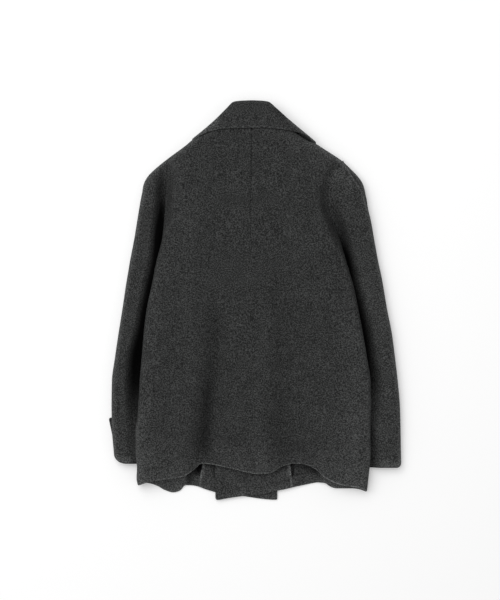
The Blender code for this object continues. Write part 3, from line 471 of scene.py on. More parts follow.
# Painted shade on the back: in its troughs, in the centre seam's groove, under the collar's edge
# and along the hem's turn line. Painted light: a highlight along the hem's edge, and light lower
# down, towards the sides and shoulders, beside the seam and over a fold on the right.
ON_SEAM = near("seam", 0.0, 1.5)
ON_HEM_LINE = near("hem", HEM_TURN, 2.5)
BACK_SHADE = [
    tint(0.03, folds(LEFT_TROUGH)), tint(0.03, folds(RIGHT_TROUGH)),
    tint(1.0, folds(LEFT_TROUGH_SHADE)),
    tint(0.04, ON_SEAM),
    tint(0.18, ON_SEAM, past("y", 60.0, 60.0)),
    tint(0.24, ON_SEAM, past("y", 220.0, 80.0)),
    tint(0.3, near("collar", 0.0, 3.2), short_of("x", 100.0, 40.0)),
    tint(0.04, ON_HEM_LINE),
    tint(0.2, ON_HEM_LINE, near("x", -207.0, 26.0)),
    tint(0.2, ON_HEM_LINE, near("x", 214.0, 12.0)),
]
BACK_LIGHT = [tint(5.2, within("hem", 4.0)), tint(0.6, short_of("y", -290.0, 70.0))]
LOW_OUTSIDE = (short_of("y", -150.0, 150.0), past("middle", 110.0, 50.0))
LEFT_BACK_LIGHT = BACK_LIGHT + [
    tint(0.2, *LOW_OUTSIDE),
    tint(1.0, short_of("y", -180.0, 150.0), within("side", 24.0)),
    tint(0.4, within("side", 55.0), short_of("y", 110.0, 40.0)),
    tint(0.25, near("x", -155.0, 35.0), past("y", 130.0, 60.0)),
    tint(0.35, near("x", -38.0, 30.0), short_of("y", -280.0, 40.0)),
    tint(1.5, within("shoulder", 14.0)),
    tint(0.25, near("x", -137.0, 30.0), short_of("y", 230.0, 60.0)),
    tint(0.35, near("seam", 3.0, 1.5)),
    tint(0.5, short_of("x", -205.0, 25.0), short_of("y", -345.0, 25.0)),
]
RIGHT_BACK_LIGHT = BACK_LIGHT + [
    tint(0.36, *LOW_OUTSIDE),
    tint(0.5, short_of("y", -60.0, 60.0), within("side", 14.0)),
    tint(0.4, past("x", 150.0, 60.0), short_of("y", 40.0, 80.0)),
    tint(0.6, near("side", 0.0, 10.0), past("y", 220.0, 40.0)),
    tint(0.45, within("shoulder", 60.0)),
    tint(2.2, within("shoulder", 16.0), past("x", 80.0, 30.0)),
    tint(3.0, within("hem", 4.0), near("x", 170.0, 24.0)),
    tint(1.0, folds(RIGHT_TROUGH_LIGHT)),
]

# Painted shadow on the fronts: under the back's hem, beside the facings' edges, in creases, along
# the hems' turn lines and over the single layer above them; painted light over the fronts and along
# their hems.
UNDER_BACK_HEM = short_of("below", 16.0, 14.0)
LEFT_FRONT_SHADE = [
    tint(0.95, past("y", -378.0, 26.0), past("facing", -2.0, 3.0), within("facing", 24.0)),
    tint(0.35, past("x", -148.0, 2.5), short_of("x", -126.0, 14.0), short_of("hem", 45.0, 30.0)),
    tint(0.2, past("hem", FRONT_HEM_TURN, 2.0)),
    tint(0.18, UNDER_BACK_HEM),
]
RIGHT_FRONT_SHADE = [
    tint(0.22, past("hem", FRONT_HEM_TURN, 2.0)),
    tint(0.8, near("facing", 2.5, 3.0), past("y", -372.0, 8.0)),
    tint(0.3, near("hem", FRONT_HEM_TURN, 1.6)),
    tint(0.3, near("x", 92.0, 2.2), short_of("y", -370.0, 6.0)),
    tint(0.18, UNDER_BACK_HEM),
]
FRONT_LIGHT = [tint(0.65), tint(0.5, within("hem", 10.0))]
# The hem's outer lobe, which looks out below the back, has no painted shade and more painted light.
LEFT_LOBE, RIGHT_LOBE = short_of("x", -146.0, 3.0), past("x", 136.0, 10.0)
LOBE_LIGHT = 1.2

# Painted shadow on the facings under the back's hem and, on the left one, cast by the edge of the
# right front; a painted dark line in the right facing's crease; painted highlights on their inner
# edges and painted light over them, their free edges and hems.
FACING_SHADE = [
    tint(0.1, UNDER_BACK_HEM),
    tint(0.4, UNDER_BACK_HEM, near("x", 57.0, 12.0)),
    tint(0.25, UNDER_BACK_HEM, near("x", -97.0, 10.0)),
]
LEFT_FACING_SHADE = FACING_SHADE + [
    tint(0.6, past("y", -384.0, 24.0), near("x", RIGHT_EDGE_X - 2.6, 2.4))]
RIGHT_FACING_SHADE = FACING_SHADE + [tint(0.3, near("free", 16.5, 2.4))]
FACING_LIGHT = [tint(0.5), tint(0.2, within("free", 12.0)), tint(3.1, near("inner", 2.0, 2.6)),
                tint(0.8, within("hem", 12.0))]

# Painted shade along the cuff's turn line; painted light over the sleeves, varying along them, with
# painted highlights along the outer fold and the cuff's outer end; painted shade and highlight at
# the edge of the upper layer of the right sleeve's head.
CUFF_LINE_SHADE = [tint(0.22, near("cuff", CUFF_TURN, 1.8))]
SLEEVE_LIGHT = [tint(1.5, within("cuff", 32.0), past("middle", 245.0, 30.0)),
                tint(1.95, within("fold", 13.0))]
LEFT_SLEEVE_LIGHT = SLEEVE_LIGHT + [tint(0.19), tint(0.3, past("y", 180.0, 40.0))]
RIGHT_SLEEVE_LIGHT = SLEEVE_LIGHT + [
    tint(0.45), tint(-0.2, past("y", 60.0, 60.0)), tint(0.5, past("y", 225.0, 30.0))]
PAST_HEAD_EDGE = past("beyond", -0.8, 1.6)
HEAD_SHADE = [tint(0.1, PAST_HEAD_EDGE), tint(0.25, near("beyond", 4.0, 2.0))]
HEAD_LIGHT = [tint(2.6, near("beyond", 0.0, 1.9))]
# Painted shade on the hidden under sleeves and on the collar stand under the fall.
HIDDEN_SHADE, STAND_SHADE = 0.5, 0.3

# Painted light on the collar, more on its left, with painted highlights along its turn, its roll
# and its edge.
COLLAR_LIGHT = [
    tint(0.12), tint(0.5, short_of("x", -20.0, 60.0)), tint(2.4, within("turn", 15.0)),
    tint(0.35, within("roll", 8.0)), tint(1.3, within("edge", 5.0)),
]


# ---------------------------------------------------------------- one side of the coat
class Side:
    """The left or the right side: sign is -1 on the wearer's left and +1 on the right."""

    def __init__(self, sign, levels, shoulder, front_edge_x, front_hem, cuff_y, cuff_corner,
                 strap_tip, soft_side_y, arm_shade, facing_edge, collar):
        self.sign = sign
        self.levels = levels
        self.shoulder = smooth_line(shoulder, SHOULDER_CURVE_STEPS)
        self.neck = shoulder[0]
        self.shoulder_end = shoulder[SHOULDER_END_ROW]
        self.front_edge_x = front_edge_x
        self.front_hem = front_hem
        self.hem_corner = self.own(front_hem[0], front_hem[-1])
        self.cuff_y = cuff_y
        self.cuff_corner = cuff_corner
        self.strap_tip = strap_tip
        self.soft_side_y = soft_side_y
        self.arm_shade = arm_shade
        self.facing_edge = facing_edge
        roll, fall_edge, self.turn, self.collar_bow = collar
        start, end = self.turn
        self.inward = Vector((end.y - start.y, start.x - end.x, 0.0)).normalized() * sign
        self.roll = smooth_line(roll, COLLAR_CURVE_STEPS)
        self.fall_edge = smooth_line(fall_edge, COLLAR_CURVE_STEPS)

    def own(self, left, right):
        """This side's one of a pair."""
        return left if self.sign < 0 else right

    def at(self, y, column):
        return follow(self.levels, y, column)

    def inside(self, x, y, column):
        """How far each place lies inside a line of the level table, towards the middle."""
        return (self.at(y, column) - x) * self.sign

    def from_body_edge(self, x, y):
        return np.maximum(0.0, self.inside(x, y, "body"))

    def top_y(self, x):
        """Top edge of the back: the neck seam out to the neck point, then the shoulder seam."""
        start = CENTRE_BACK[-1].x
        t = (x - start) / (self.neck.x - start)
        neck_seam = mix(NECK_Y, self.neck.y, t * t)
        line = sorted(self.shoulder, key=lambda p: p.x)
        shoulder_seam = np.interp(x, [p.x for p in line], [p.y for p in line])
        return np.where(x * self.sign <= self.neck.x * self.sign, neck_seam, shoulder_seam)

    def sleeve_outer_x(self, y):
        """Outer fold of the sleeve, or the outline of the sleeve head higher up."""
        head = [p for p in self.shoulder if p.y <= self.shoulder_end.y][::-1]
        outline = np.interp(y, [p.y for p in head], [p.x for p in head])
        return np.where(y < head[0].y, self.at(y, "sleeve"), outline)

    def from_sleeve_edge(self, x, y):
        head = away_from_line(x, y, self.shoulder)
        return np.where(y > self.shoulder[-1].y, head, np.abs(x - self.sleeve_outer_x(y)))

    def over_shoulder(self, x, y, height):
        """Brings a height down, or up, to the shoulder seam near the shoulder line."""
        share = rounded(away_from_line(x, y, self.shoulder), SHOULDER_ROUND)
        return mix(SHOULDER_HEIGHT, height, share)

    # heights ------------------------------------------------------------
    def back_height(self, x, y):
        """Outer surface of the back."""
        middle = follow(CROWN, y, "height")
        reach = np.abs(x - follow(CENTRE_BACK, y, "x")) / np.abs(self.at(y, "body"))
        turning = smooth((reach - BACK_ROUND_FROM) / BACK_ROUND_OVER)
        top = mix(middle, self.at(y, "edge"), turning)
        for rows in BACK_FOLDS:
            top = top - fold_at(rows, x, y)
        from_edge = self.from_body_edge(x, y)
        share = mix(rounded(from_edge, SIDE_ROUND), smooth(from_edge / SOFT_SIDE_ROUND),
                    self.soft_side(y))
        return self.over_shoulder(x, y, mix(self.at(y, "fold"), top, share))

    def soft_side(self, y):
        """1 high up the armhole, where back and sleeve meet in a soft hollow; 0 below it."""
        return smooth((y - self.soft_side_y) / SOFT_SIDE_LENGTH)

    def sleeve_top_height(self, x, y):
        """Top of the sleeve, without the rounding at its outer fold."""
        slope = SLEEVE_SLOPE * smooth((HEAD_SLOPE_Y - y) / HEAD_SLOPE_LENGTH) + HEAD_SLOPE
        fallen = smooth(self.inside(x, y, "drop") / slope + 0.5)
        return mix(self.at(y, "crest"), self.at(y, "valley"), fallen)

    def sunk_sleeve_height(self, x, y):
        """The sleeve's top, with the deeper hollow beside the body."""
        soft = self.soft_side(y)
        sunk = (HOLLOW_DEPTH * self.at(y, "dark")
                * smooth(self.inside(x, y, "drop") / SLEEVE_SLOPE))
        step = self.at(y, "valley") - self.at(y, "fold")
        meet = step * soft * smooth(1.0 + self.inside(x, y, "body") / ARMHOLE_MEET)
        return self.sleeve_top_height(x, y) - mix(sunk, meet, soft)

    def beside_body(self, x, y):
        """Painted shadow on the sleeve beside the body, 0 to 1."""
        reach = self.inside(x, y, "drop") / self.at(y, "soft")
        return self.at(y, "dark") * smooth(reach + SHADE_AHEAD)

    def sleeve_fold_height(self, y):
        return mix(SLEEVE_FOLD, SHOULDER_HEIGHT, smooth((y - FOLD_RISES_Y) / FOLD_RISE_LENGTH))

    def over_sleeve(self, x, y):
        """How far a front is lifted by the sleeve that is folded under it."""
        across = smooth((INNER_SLOPE - self.inside(x, y, "inner")) / INNER_SLOPE)
        upper = smooth((SLEEVE_CLOSES_Y + UPPER_SLOPE - y) / UPPER_SLOPE)
        lower = smooth((y - self.cuff_y + CUFF_SLOPE + CUFF_CLEAR) / CUFF_SLOPE)
        return (self.sleeve_top_height(x, y) + SLEEVE_CLEAR) * across * upper * lower

    def fold_height(self, y):
        """Height at which the front's side edge lies."""
        return self.at(y, "fold") * self.joined(y)

    def joined(self, y):
        """1 along the side seam, 0 up the armhole."""
        return smooth((UNDERARM_Y - y) / (UNDERARM_Y - SLEEVE_CLOSES_Y))

    def front_height(self, x, y):
        """Outer surface of the front, which is its lower one here."""
        low = np.maximum(self.over_sleeve(x, y), self.layers_below(x, y))
        share = rounded(self.from_body_edge(x, y), FRONT_SIDE_ROUND)
        return self.over_shoulder(x, y, mix(self.fold_height(y), low, share))

    def lapel_across(self, x, y):
        """Distance past the roll line towards the side, and how far up the roll line."""
        dx, dy = self.neck.x - self.front_edge_x, self.neck.y - BREAK_Y
        length = math.hypot(dx, dy)
        px, py = x - self.front_edge_x, y - BREAK_Y
        return self.sign * (px * dy - py * dx) / length, (px * dx + py * dy) / length

    def over_lapel(self, x, y, start):
        """1 where the turned-back lapel and the collar's end lie under the front."""
        across, along = self.lapel_across(x, y)
        width = LAPEL_REACH * smooth((along - start) / LAPEL_RAMP)
        beside = LAYER_MARGIN + LAYER_SLOPE
        return (smooth((width + beside - across) / LAYER_SLOPE)
                * smooth((beside + across) / LAYER_SLOPE)
                * smooth((along - start + LAYER_SLOPE) / LAYER_SLOPE))

    def layers_below(self, x, y):
        """Height of what lies under this front: buttons, lapels and the other front."""
        low = (BUTTON_HEIGHT + BUTTON_CLEAR) * over_buttons(x, y)
        low = np.maximum(low, LAPEL_LIFT * LEFT.over_lapel(x, y, 0.0))
        roll = ROLL_LIFT * self.over_collar_roll(x, y)
        if self is LEFT:
            return np.maximum(low, roll)
        own_lapel = LAPEL_LIFT * self.over_lapel(x, y, OWN_LAPEL_START)
        return low + self.over_left_front(x, y) + np.maximum(own_lapel, roll)

    def over_collar_roll(self, x, y):
        """1 where the collar's roll lies under the front, beside the neck."""
        across, along = self.lapel_across(x, y)
        return (smooth((ROLL_REACH - across) / ROLL_SLOPE_ACROSS)
                * smooth((along - ROLL_START) / ROLL_SLOPE_ALONG))

    def over_left_front(self, x, y):
        """How far the outer front and its facing lift what lies on them."""
        edge = LEFT.front_free_x(y)
        covered = smooth((edge + LAYER_MARGIN + LAYER_SLOPE - x) / LAYER_SLOPE)
        faced = smooth((BREAK_Y + LAYER_SLOPE - y) / LAYER_SLOPE)
        return covered * (CLOTH + LAYER_GAP + (FACING_CLOTH + SEAM) * faced)

    # edges in plan -------------------------------------------------------
    def front_free_x(self, y):
        """Front edge, then the roll line of the lapel above the break."""
        t = np.clip((y - BREAK_Y) / (self.neck.y - BREAK_Y), 0.0, 1.0)
        return mix(self.front_edge_x, self.neck.x, t)


LEFT = Side(-1, LEFT_LEVELS, LEFT_SHOULDER, LEFT_EDGE_X, LEFT_FRONT_HEM, LEFT_CUFF_Y,
            LEFT_CUFF_CORNER, LEFT_STRAP_TIP, LEFT_SOFT_SIDE_Y, LEFT_ARM_SHADE, LEFT_FACING,
            (LEFT_ROLL, LEFT_FALL_EDGE, LEFT_TURN, LEFT_COLLAR_BOW))
RIGHT = Side(1, RIGHT_LEVELS, RIGHT_SHOULDER, RIGHT_EDGE_X, RIGHT_FRONT_HEM, RIGHT_CUFF_Y,
             RIGHT_CUFF_CORNER, RIGHT_STRAP_TIP, RIGHT_SOFT_SIDE_Y, RIGHT_ARM_SHADE, RIGHT_FACING,
             (RIGHT_ROLL, RIGHT_FALL_EDGE, RIGHT_TURN, RIGHT_COLLAR_BOW))


# ---------------------------------------------------------------- finishes
MOTTLE = {"Scale": 450.0, "Detail": 1.0, "Roughness": 0.5}
FIBRE = {"Scale": 1200.0, "Detail": 2.0, "Roughness": 0.6}
BROAD = {"Scale": 35.0, "Detail": 2.0, "Roughness": 0.6}
MOTTLE_SHARE, FIBRE_SHARE = 0.85, 0.15
BROAD_LEAST, BROAD_RANGE = 0.74, 0.52
# Shades of the fibres: where each lies in the mottle, how light it is, and its red, green and
# blue in proportion. The cloth is a deep charcoal with a breath of green.
Yarn = namedtuple("Yarn", "position tone tint")
YARNS = [Yarn(0.365, 0.011, (0.99, 1.01, 1.0)), Yarn(0.5, 0.027, (0.985, 1.01, 1.0)),
         Yarn(0.635, 0.058, (0.985, 1.01, 1.0))]
WOOL_DEPTH = 1.075       # all of the shades are this much lighter
SHADE_DEPTH = 0.98       # share of the tone that full painted shade takes away
LIGHT_GAIN = 0.5         # share of the tone that a painted light of 1 adds
NAP = {"Strength": 0.5, "Distance": 0.0008}
WOOL_SURFACE = {"Roughness": 0.95, "Specular IOR Level": 0.02, "Sheen Weight": 0.02,
                "Sheen Roughness": 0.6}
HORN_STREAKS = {"Scale": 160.0, "Detail": 3.0}
HORN_DARK, HORN_LIGHT = (0.006, 0.006, 0.0065, 1.0), (0.022, 0.021, 0.020, 1.0)
HORN_SURFACE = {"Roughness": 0.35}


def settings(node, values):
    """Sets inputs of a node by their names."""
    for name, value in values.items():
        node.inputs[name].default_value = value


def new_material(name):
    """A material with its nodes, its links and its shader."""
    made = bpy.data.materials.new(name)
    made.use_nodes = True
    nodes = made.node_tree.nodes
    return made, nodes, made.node_tree.links, nodes["Principled BSDF"]


def grain(nodes, links, values):
    """Noise in the coat's own frame."""
    new = nodes.new("ShaderNodeTexNoise")
    place = nodes.new("ShaderNodeTexCoord")
    links.new(place.outputs["Object"], new.inputs["Vector"])
    settings(new, values)
    return new.outputs["Fac"]


def melton(name):
    """Felted wool: light and dark fibres mixed in the yarn, a soft nap, and no weave to see; each
    piece's dark and light attributes paint shade and light into its colour.
    """
    made, nodes, links, shader = new_material(name)

    def attribute(called):
        new = nodes.new("ShaderNodeAttribute")
        new.attribute_name = called
        return new.outputs["Fac"]

    def math_node(operation, a, b):
        new = nodes.new("ShaderNodeMath")
        new.operation = operation
        for socket, value in zip(new.inputs, (a, b)):
            if isinstance(value, (int, float)):
                socket.default_value = value
            else:
                links.new(value, socket)
        return new.outputs[0]

    mottle = math_node("MULTIPLY", grain(nodes, links, MOTTLE), MOTTLE_SHARE)
    fibre = math_node("MULTIPLY", grain(nodes, links, FIBRE), FIBRE_SHARE)
    mixed = math_node("ADD", mottle, fibre)
    ramp = nodes.new("ShaderNodeValToRGB")
    links.new(mixed, ramp.inputs["Fac"])
    stops = ramp.color_ramp.elements
    stops.new(YARNS[1].position)
    for stop, yarn in zip(stops, YARNS):
        stop.position = yarn.position
        stop.color = [yarn.tone * WOOL_DEPTH * share for share in yarn.tint] + [1.0]
    # Painted shade and painted light: the dark and light attributes of each piece darken and
    # lighten the cloth's colour.
    shade = math_node("MULTIPLY", attribute("dark"), SHADE_DEPTH)
    lift = math_node("MULTIPLY", attribute("light"), LIGHT_GAIN)
    lit = math_node("MULTIPLY", math_node("SUBTRACT", 1.0, shade), math_node("ADD", 1.0, lift))
    broad = math_node("MULTIPLY", grain(nodes, links, BROAD), BROAD_RANGE)
    factor = math_node("MULTIPLY", lit, math_node("ADD", BROAD_LEAST, broad))
    scaled = nodes.new("ShaderNodeVectorMath")
    scaled.operation = "SCALE"
    links.new(ramp.outputs["Color"], scaled.inputs[0])
    links.new(factor, scaled.inputs["Scale"])
    links.new(scaled.outputs[0], shader.inputs["Base Color"])

    nap = nodes.new("ShaderNodeBump")
    settings(nap, NAP)
    links.new(mixed, nap.inputs["Height"])
    links.new(nap.outputs["Normal"], shader.inputs["Normal"])
    settings(shader, WOOL_SURFACE)
    return made


def horn_button():
    """Dark polished horn with faint streaks."""
    made, nodes, links, shader = new_material("black horn")
    ramp = nodes.new("ShaderNodeValToRGB")
    ramp.color_ramp.elements[0].color = HORN_DARK
    ramp.color_ramp.elements[1].color = HORN_LIGHT
    links.new(grain(nodes, links, HORN_STREAKS), ramp.inputs["Fac"])
    links.new(ramp.outputs["Color"], shader.inputs["Base Color"])
    settings(shader, HORN_SURFACE)
    return made


WOOL = melton("charcoal melton")
INNER_WOOL = melton("charcoal melton, inner side")
COLLAR_WOOL = melton("charcoal melton, collar")
BUTTON_HORN = horn_button()


# ---------------------------------------------------------------- building sheets
def ruler(first, even, last):
    """Steps along a length, as a fixed part and a share of the length for each step.

    They are at the distances `first` from its start, then even, then `last` before its end.
    """
    t = np.arange(1, even) / even
    fixed = np.concatenate((first, mix(first[-1], -last[-1], t), -np.array(last[::-1])))
    share = np.concatenate((np.zeros(len(first)), t, np.ones(len(last))))
    return fixed, share


def as_rows(steps):
    """The steps of a ruler set out down the rows of a grid."""
    return [part[:, None] for part in steps]


def spaced(start, end, steps, sign=1):
    """Places from start to end at the steps of a ruler; sign is the way they run."""
    fixed, share = steps
    return start + sign * fixed + share * (end - start)


def bend(reach, steps):
    """Distances from a fold that follow a quarter circle round it."""
    return [reach * (1.0 - math.cos(math.pi / 2 * k / steps)) for k in range(steps + 1)]


def there_and_back(out, back):
    """Steps out over a sleeve's upper layer and back below it, and which are the upper ones."""
    fixed, share = (np.concatenate((over, under[-2::-1])) for over, under in zip(out, back))
    return fixed, share, np.arange(len(fixed)) < len(out[0])


def squeezed(width, reach):
    """Draws fixed steps of this reach together where a piece is narrow."""
    return np.minimum(1.0, width * NARROW_SHARE / reach)


FREE_EDGE = [0.0, 0.35, 0.9, 1.7, 2.8, 4.2, 6.2, 8.6, 11.2]
HEM_STEPS = FREE_EDGE + [14.0, 17.0, 19.5, 21.2, 22.2, 23.2, 24.2, 25.2, 26.2, 27.2, 28.2, 30.0,
                         33.0]
SEAM_STEPS = [0.0, 0.5, 1.1, 1.8, 2.7, 4.0, 6.0, 9.0, 12.5]
PLAIN_STEPS = [0.0, 1.0, 3.0]
SIDE_BEND, SHOULDER_BEND = 17.0, 22.0   # stretches that the steps follow round these folds
EDGE_LEFT = 0.22       # share of the thickness left on a free edge
EDGE_ROUND = 0.6       # reach of that rounding, as a share of the thickness
NARROW_SHARE = 0.8     # share of a narrow width that its fixed steps may take


def edge_share(distance, thickness):
    """How much of the cloth's thickness is left near a rounded free edge."""
    return np.maximum(EDGE_LEFT, rounded(distance, thickness * EDGE_ROUND))


def hem_thickness(from_edge, turn, blend=1.6):
    """Two layers of cloth up to the line where a hem or cuff is turned up, one beyond."""
    return mix(CLOTH, HEM_CLOTH, smooth((turn - from_edge) / blend + 0.5))


# The record of a cut: width and length of the cloth in metres, its area in square metres where the
# cut isn't a rectangle, and what the piece lies on.
Cut = namedtuple("Cut", "width length area lies_on")


def outer_normals(places, turned):
    """Directions that face away from a grid of places, on its other side where it is turned."""
    normals = np.cross(np.gradient(places, axis=1), np.gradient(places, axis=0))
    if turned:
        normals = -normals
    return normals / np.maximum(np.linalg.norm(normals, axis=2, keepdims=True), 1e-9)


def sheet(name, places, thickness, finish, nodes, turned=False, edge=1.0, dark=0.0,
          light=0.0, normals=None):
    """A wall of cloth: places are its outer surface in mm, by row and column; dark and light are
    painted shade and painted light on its corners.
    """
    rows, columns = places.shape[0] - 1, places.shape[1] - 1
    shape = places.shape[:2]
    normals = outer_normals(places, turned) if normals is None else normals
    thickness = np.broadcast_to(thickness, shape)
    edge = np.broadcast_to(edge, shape)
    dark = np.broadcast_to(np.clip(dark, 0.0, 1.0), shape)
    light = np.broadcast_to(light, shape)
    outer = (places - normals * (thickness / 2 * (1.0 - edge))[..., None]) * MM
    through = normals * (-thickness * edge)[..., None] * MM

    bm = bmesh.new()
    behind = bm.verts.layers.float_vector.new("behind")
    # painted shade and painted light, which the finish reads by the names dark and light
    painted_shade_layer = bm.verts.layers.float.new("dark")
    painted_light_layer = bm.verts.layers.float.new("light")
    bmesh.ops.create_grid(bm, x_segments=columns, y_segments=rows, size=0.5)
    for vert in bm.verts:
        i = round((vert.co.x + 0.5) * columns)
        j = round((vert.co.y + 0.5) * rows)
        vert.co = outer[j, i]
        vert[behind] = through[j, i]
        vert[painted_shade_layer] = dark[j, i]
        vert[painted_light_layer] = light[j, i]
    if turned:
        bmesh.ops.reverse_faces(bm, faces=bm.faces)
    doubled = bmesh.ops.extrude_face_region(bm, geom=list(bm.faces), use_keep_orig=True)
    for item in doubled["geom"]:
        if isinstance(item, bmesh.types.BMVert):
            item.co += item[behind]
    bmesh.ops.recalc_face_normals(bm, faces=bm.faces)
    bm.verts.layers.float_vector.remove(behind)
    mesh = bpy.data.meshes.new(name)
    bm.to_mesh(mesh)
    bm.free()
    mesh.shade_smooth()
    mesh.materials.append(finish)
    piece = bpy.data.objects.new(name, mesh)
    bpy.context.collection.objects.link(piece)
    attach(piece, "root")
    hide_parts(*nodes)


def spread(side, hem, start_x, start_line, columns, rows):
    """x and y of a piece that runs out to the body's side, how far they are up from its hem,
    and x of the line that it starts from."""
    hem_x = spaced(start_x[0], side.hem_corner.x, columns, side.sign)
    top_x = spaced(start_x[1], side.shoulder_end.x, columns, side.sign)
    hem_y = follow(hem, hem_x, "y", "x")
    y = spaced(hem_y, side.top_y(top_x), rows)
    start = start_line(y)
    return spaced(start, side.at(y, "body"), columns, side.sign), y, y - hem_y, start


def stack(x, y, z):
    return np.stack(np.broadcast_arrays(x, y, z), axis=-1)


# ---------------------------------------------------------------- the back
BACK_COLUMNS = ruler(SEAM_STEPS, 72, bend(SIDE_BEND, 13))
BACK_ROWS = as_rows(ruler(HEM_STEPS, 130, bend(SHOULDER_BEND, 13)))
BACK_HEM_BLEND = 2.0


def back(side, name, node):
    """Half of the back, from the centre-back seam to the side seam and armhole.

    Each half runs on past the seam line by SEAM, so that no light shows between them.
    """
    x, y, from_hem, seam = spread(side, BACK_HEM, (CENTRE_BACK[0].x, CENTRE_BACK[-1].x),
                                  lambda y: follow(CENTRE_BACK, y, "x") - side.sign * SEAM,
                                  BACK_COLUMNS, BACK_ROWS)
    from_seam = np.abs(x - seam)
    sharp = mix(SEAM_FAINT, 1.0, smooth((y - SEAM_SHARP_Y) / SEAM_SHARP_LENGTH))
    height = (side.back_height(x, y) - sharp * groove_at(CENTRE_SEAM, from_seam)
              - groove_at(BESIDE_SEAM, from_seam) - groove_at(HEM_LINE, from_hem)
              - groove_at(HEM_BODY, from_hem))
    thickness = hem_thickness(from_hem, HEM_TURN, BACK_HEM_BLEND)
    at = {"x": x, "y": y, "middle": np.abs(x), "seam": from_seam, "hem": from_hem,
          "side": side.from_body_edge(x, y), "shoulder": away_from_line(x, y, side.shoulder),
          "collar": away_from_line(x, y, side.fall_edge)}
    sheet(name, stack(x, y, height), thickness, WOOL, [node], turned=side is LEFT,
          edge=edge_share(from_hem, thickness),
          dark=painted(BACK_SHADE, at) + fold_at(side.arm_shade, x, y),
          light=painted(side.own(LEFT_BACK_LIGHT, RIGHT_BACK_LIGHT), at))


# ---------------------------------------------------------------- the fronts
FRONT_COLUMNS = ruler(FREE_EDGE, 64, bend(FRONT_SIDE_ROUND, 6))
FRONT_ROWS = as_rows(ruler(HEM_STEPS, 96, bend(SHOULDER_BEND, 6)))


def below_back_hem(x, y):
    return follow(BACK_HEM, x, "y", "x") - y


def front(side, name, node):
    """The lower layer: it lies on the surface, the sleeves, the lapels and the buttons."""
    x, y, from_hem, free_x = spread(side, side.front_hem, (side.front_edge_x, side.neck.x),
                                    side.front_free_x, FRONT_COLUMNS, FRONT_ROWS)
    thickness = hem_thickness(from_hem, FRONT_HEM_TURN)
    at = {"x": x, "y": y, "hem": from_hem, "below": below_back_hem(x, y),
          "facing": (x - follow(side.facing_edge, y, "x")) * side.sign}
    lobe = side.own(LEFT_LOBE, RIGHT_LOBE)(at)
    shade = painted(side.own(LEFT_FRONT_SHADE, RIGHT_FRONT_SHADE), at)
    edge = edge_share(np.minimum(from_hem, np.abs(x - free_x)), thickness)
    sheet(name, stack(x, y, side.front_height(x, y)), thickness, WOOL, [node],
          turned=side is RIGHT, edge=edge, dark=shade * (1.0 - lobe),
          light=painted(FRONT_LIGHT, at) + LOBE_LIGHT * lobe)


FACING_COLUMNS = ruler(FREE_EDGE, 34, [0.0, 0.35, 0.9, 1.7, 3.0])
FACING_ROWS = as_rows(ruler(FREE_EDGE, 60, PLAIN_STEPS))


def facing(side, name, node):
    """Lies on the inner side of the front, from its edge in."""
    hem_end_x = side.front_edge_x + side.sign * FACING_WIDTH
    hem_x = spaced(side.front_edge_x, hem_end_x, FACING_COLUMNS, side.sign)
    hem_y = follow(side.front_hem, hem_x, "y", "x") + FACING_DROP
    y = spaced(hem_y, BREAK_Y, FACING_ROWS)
    inner_x = follow(side.facing_edge, y, "x")
    x = spaced(side.front_edge_x, inner_x, FACING_COLUMNS, side.sign)
    at = {"x": x, "y": y, "hem": y - hem_y, "free": np.abs(x - side.front_edge_x),
          "inner": np.abs(inner_x - x), "below": below_back_hem(x, y)}
    height = side.front_height(x, y) + CLOTH + FACING_GAP - groove_at(FACING_EDGE, at["free"])
    edge = edge_share(np.minimum(np.minimum(at["free"], at["inner"]), at["hem"]), FACING_CLOTH)
    sheet(name, stack(x, y, height), FACING_CLOTH, INNER_WOOL, [node],
          turned=side is RIGHT, edge=edge, light=painted(FACING_LIGHT, at),
          dark=painted(side.own(LEFT_FACING_SHADE, RIGHT_FACING_SHADE), at))


# ---------------------------------------------------------------- the sleeves
UPPER_STEPS = ruler(PLAIN_STEPS, 34, bend(SLEEVE_ROUND, 12))
LOWER_STEPS = ruler(PLAIN_STEPS, 12, bend(SLEEVE_ROUND, 9))
SLEEVE_ROWS = as_rows(ruler(FREE_EDGE + [14.0, 16.5, 18.0, 19.0, 20.0, 22.0, 25.0], 112, [0.0]))
UNDER_STEPS = ruler(PLAIN_STEPS, 10, bend(INNER_ROUND, 6))
SLEEVE_TOP_GAP, UNDER_TOP_GAP = 1.0, 6.0   # where they end short of shoulder and underarm


def sleeve_seam_x(side, y):
    """Edge of the top sleeve: the armhole, or the hidden seam to the under sleeve."""
    body = side.at(y, "body") + side.sign * SEAM
    share = HIDDEN_SEAM_SHARE * smooth((SLEEVE_CLOSES_Y - y) / HIDDEN_SEAM_LENGTH)
    return mix(body, side.at(y, "inner"), share)


def sleeve_heights(side, x, y, above, fold, near_fold):
    """Both layers of a sleeve: the lower one lies on the surface, or on the cuff strap."""
    from_strap = np.maximum(np.abs(y - STRAP_Y) - STRAP_WIDTH / 2 - STRAP_CLEAR, 0.0)
    low = (STRAP_CLOTH + STRAP_GAP) * smooth(1.0 - from_strap / STRAP_SLOPE)
    return mix(fold, np.where(above, side.sunk_sleeve_height(x, y), low), near_fold)


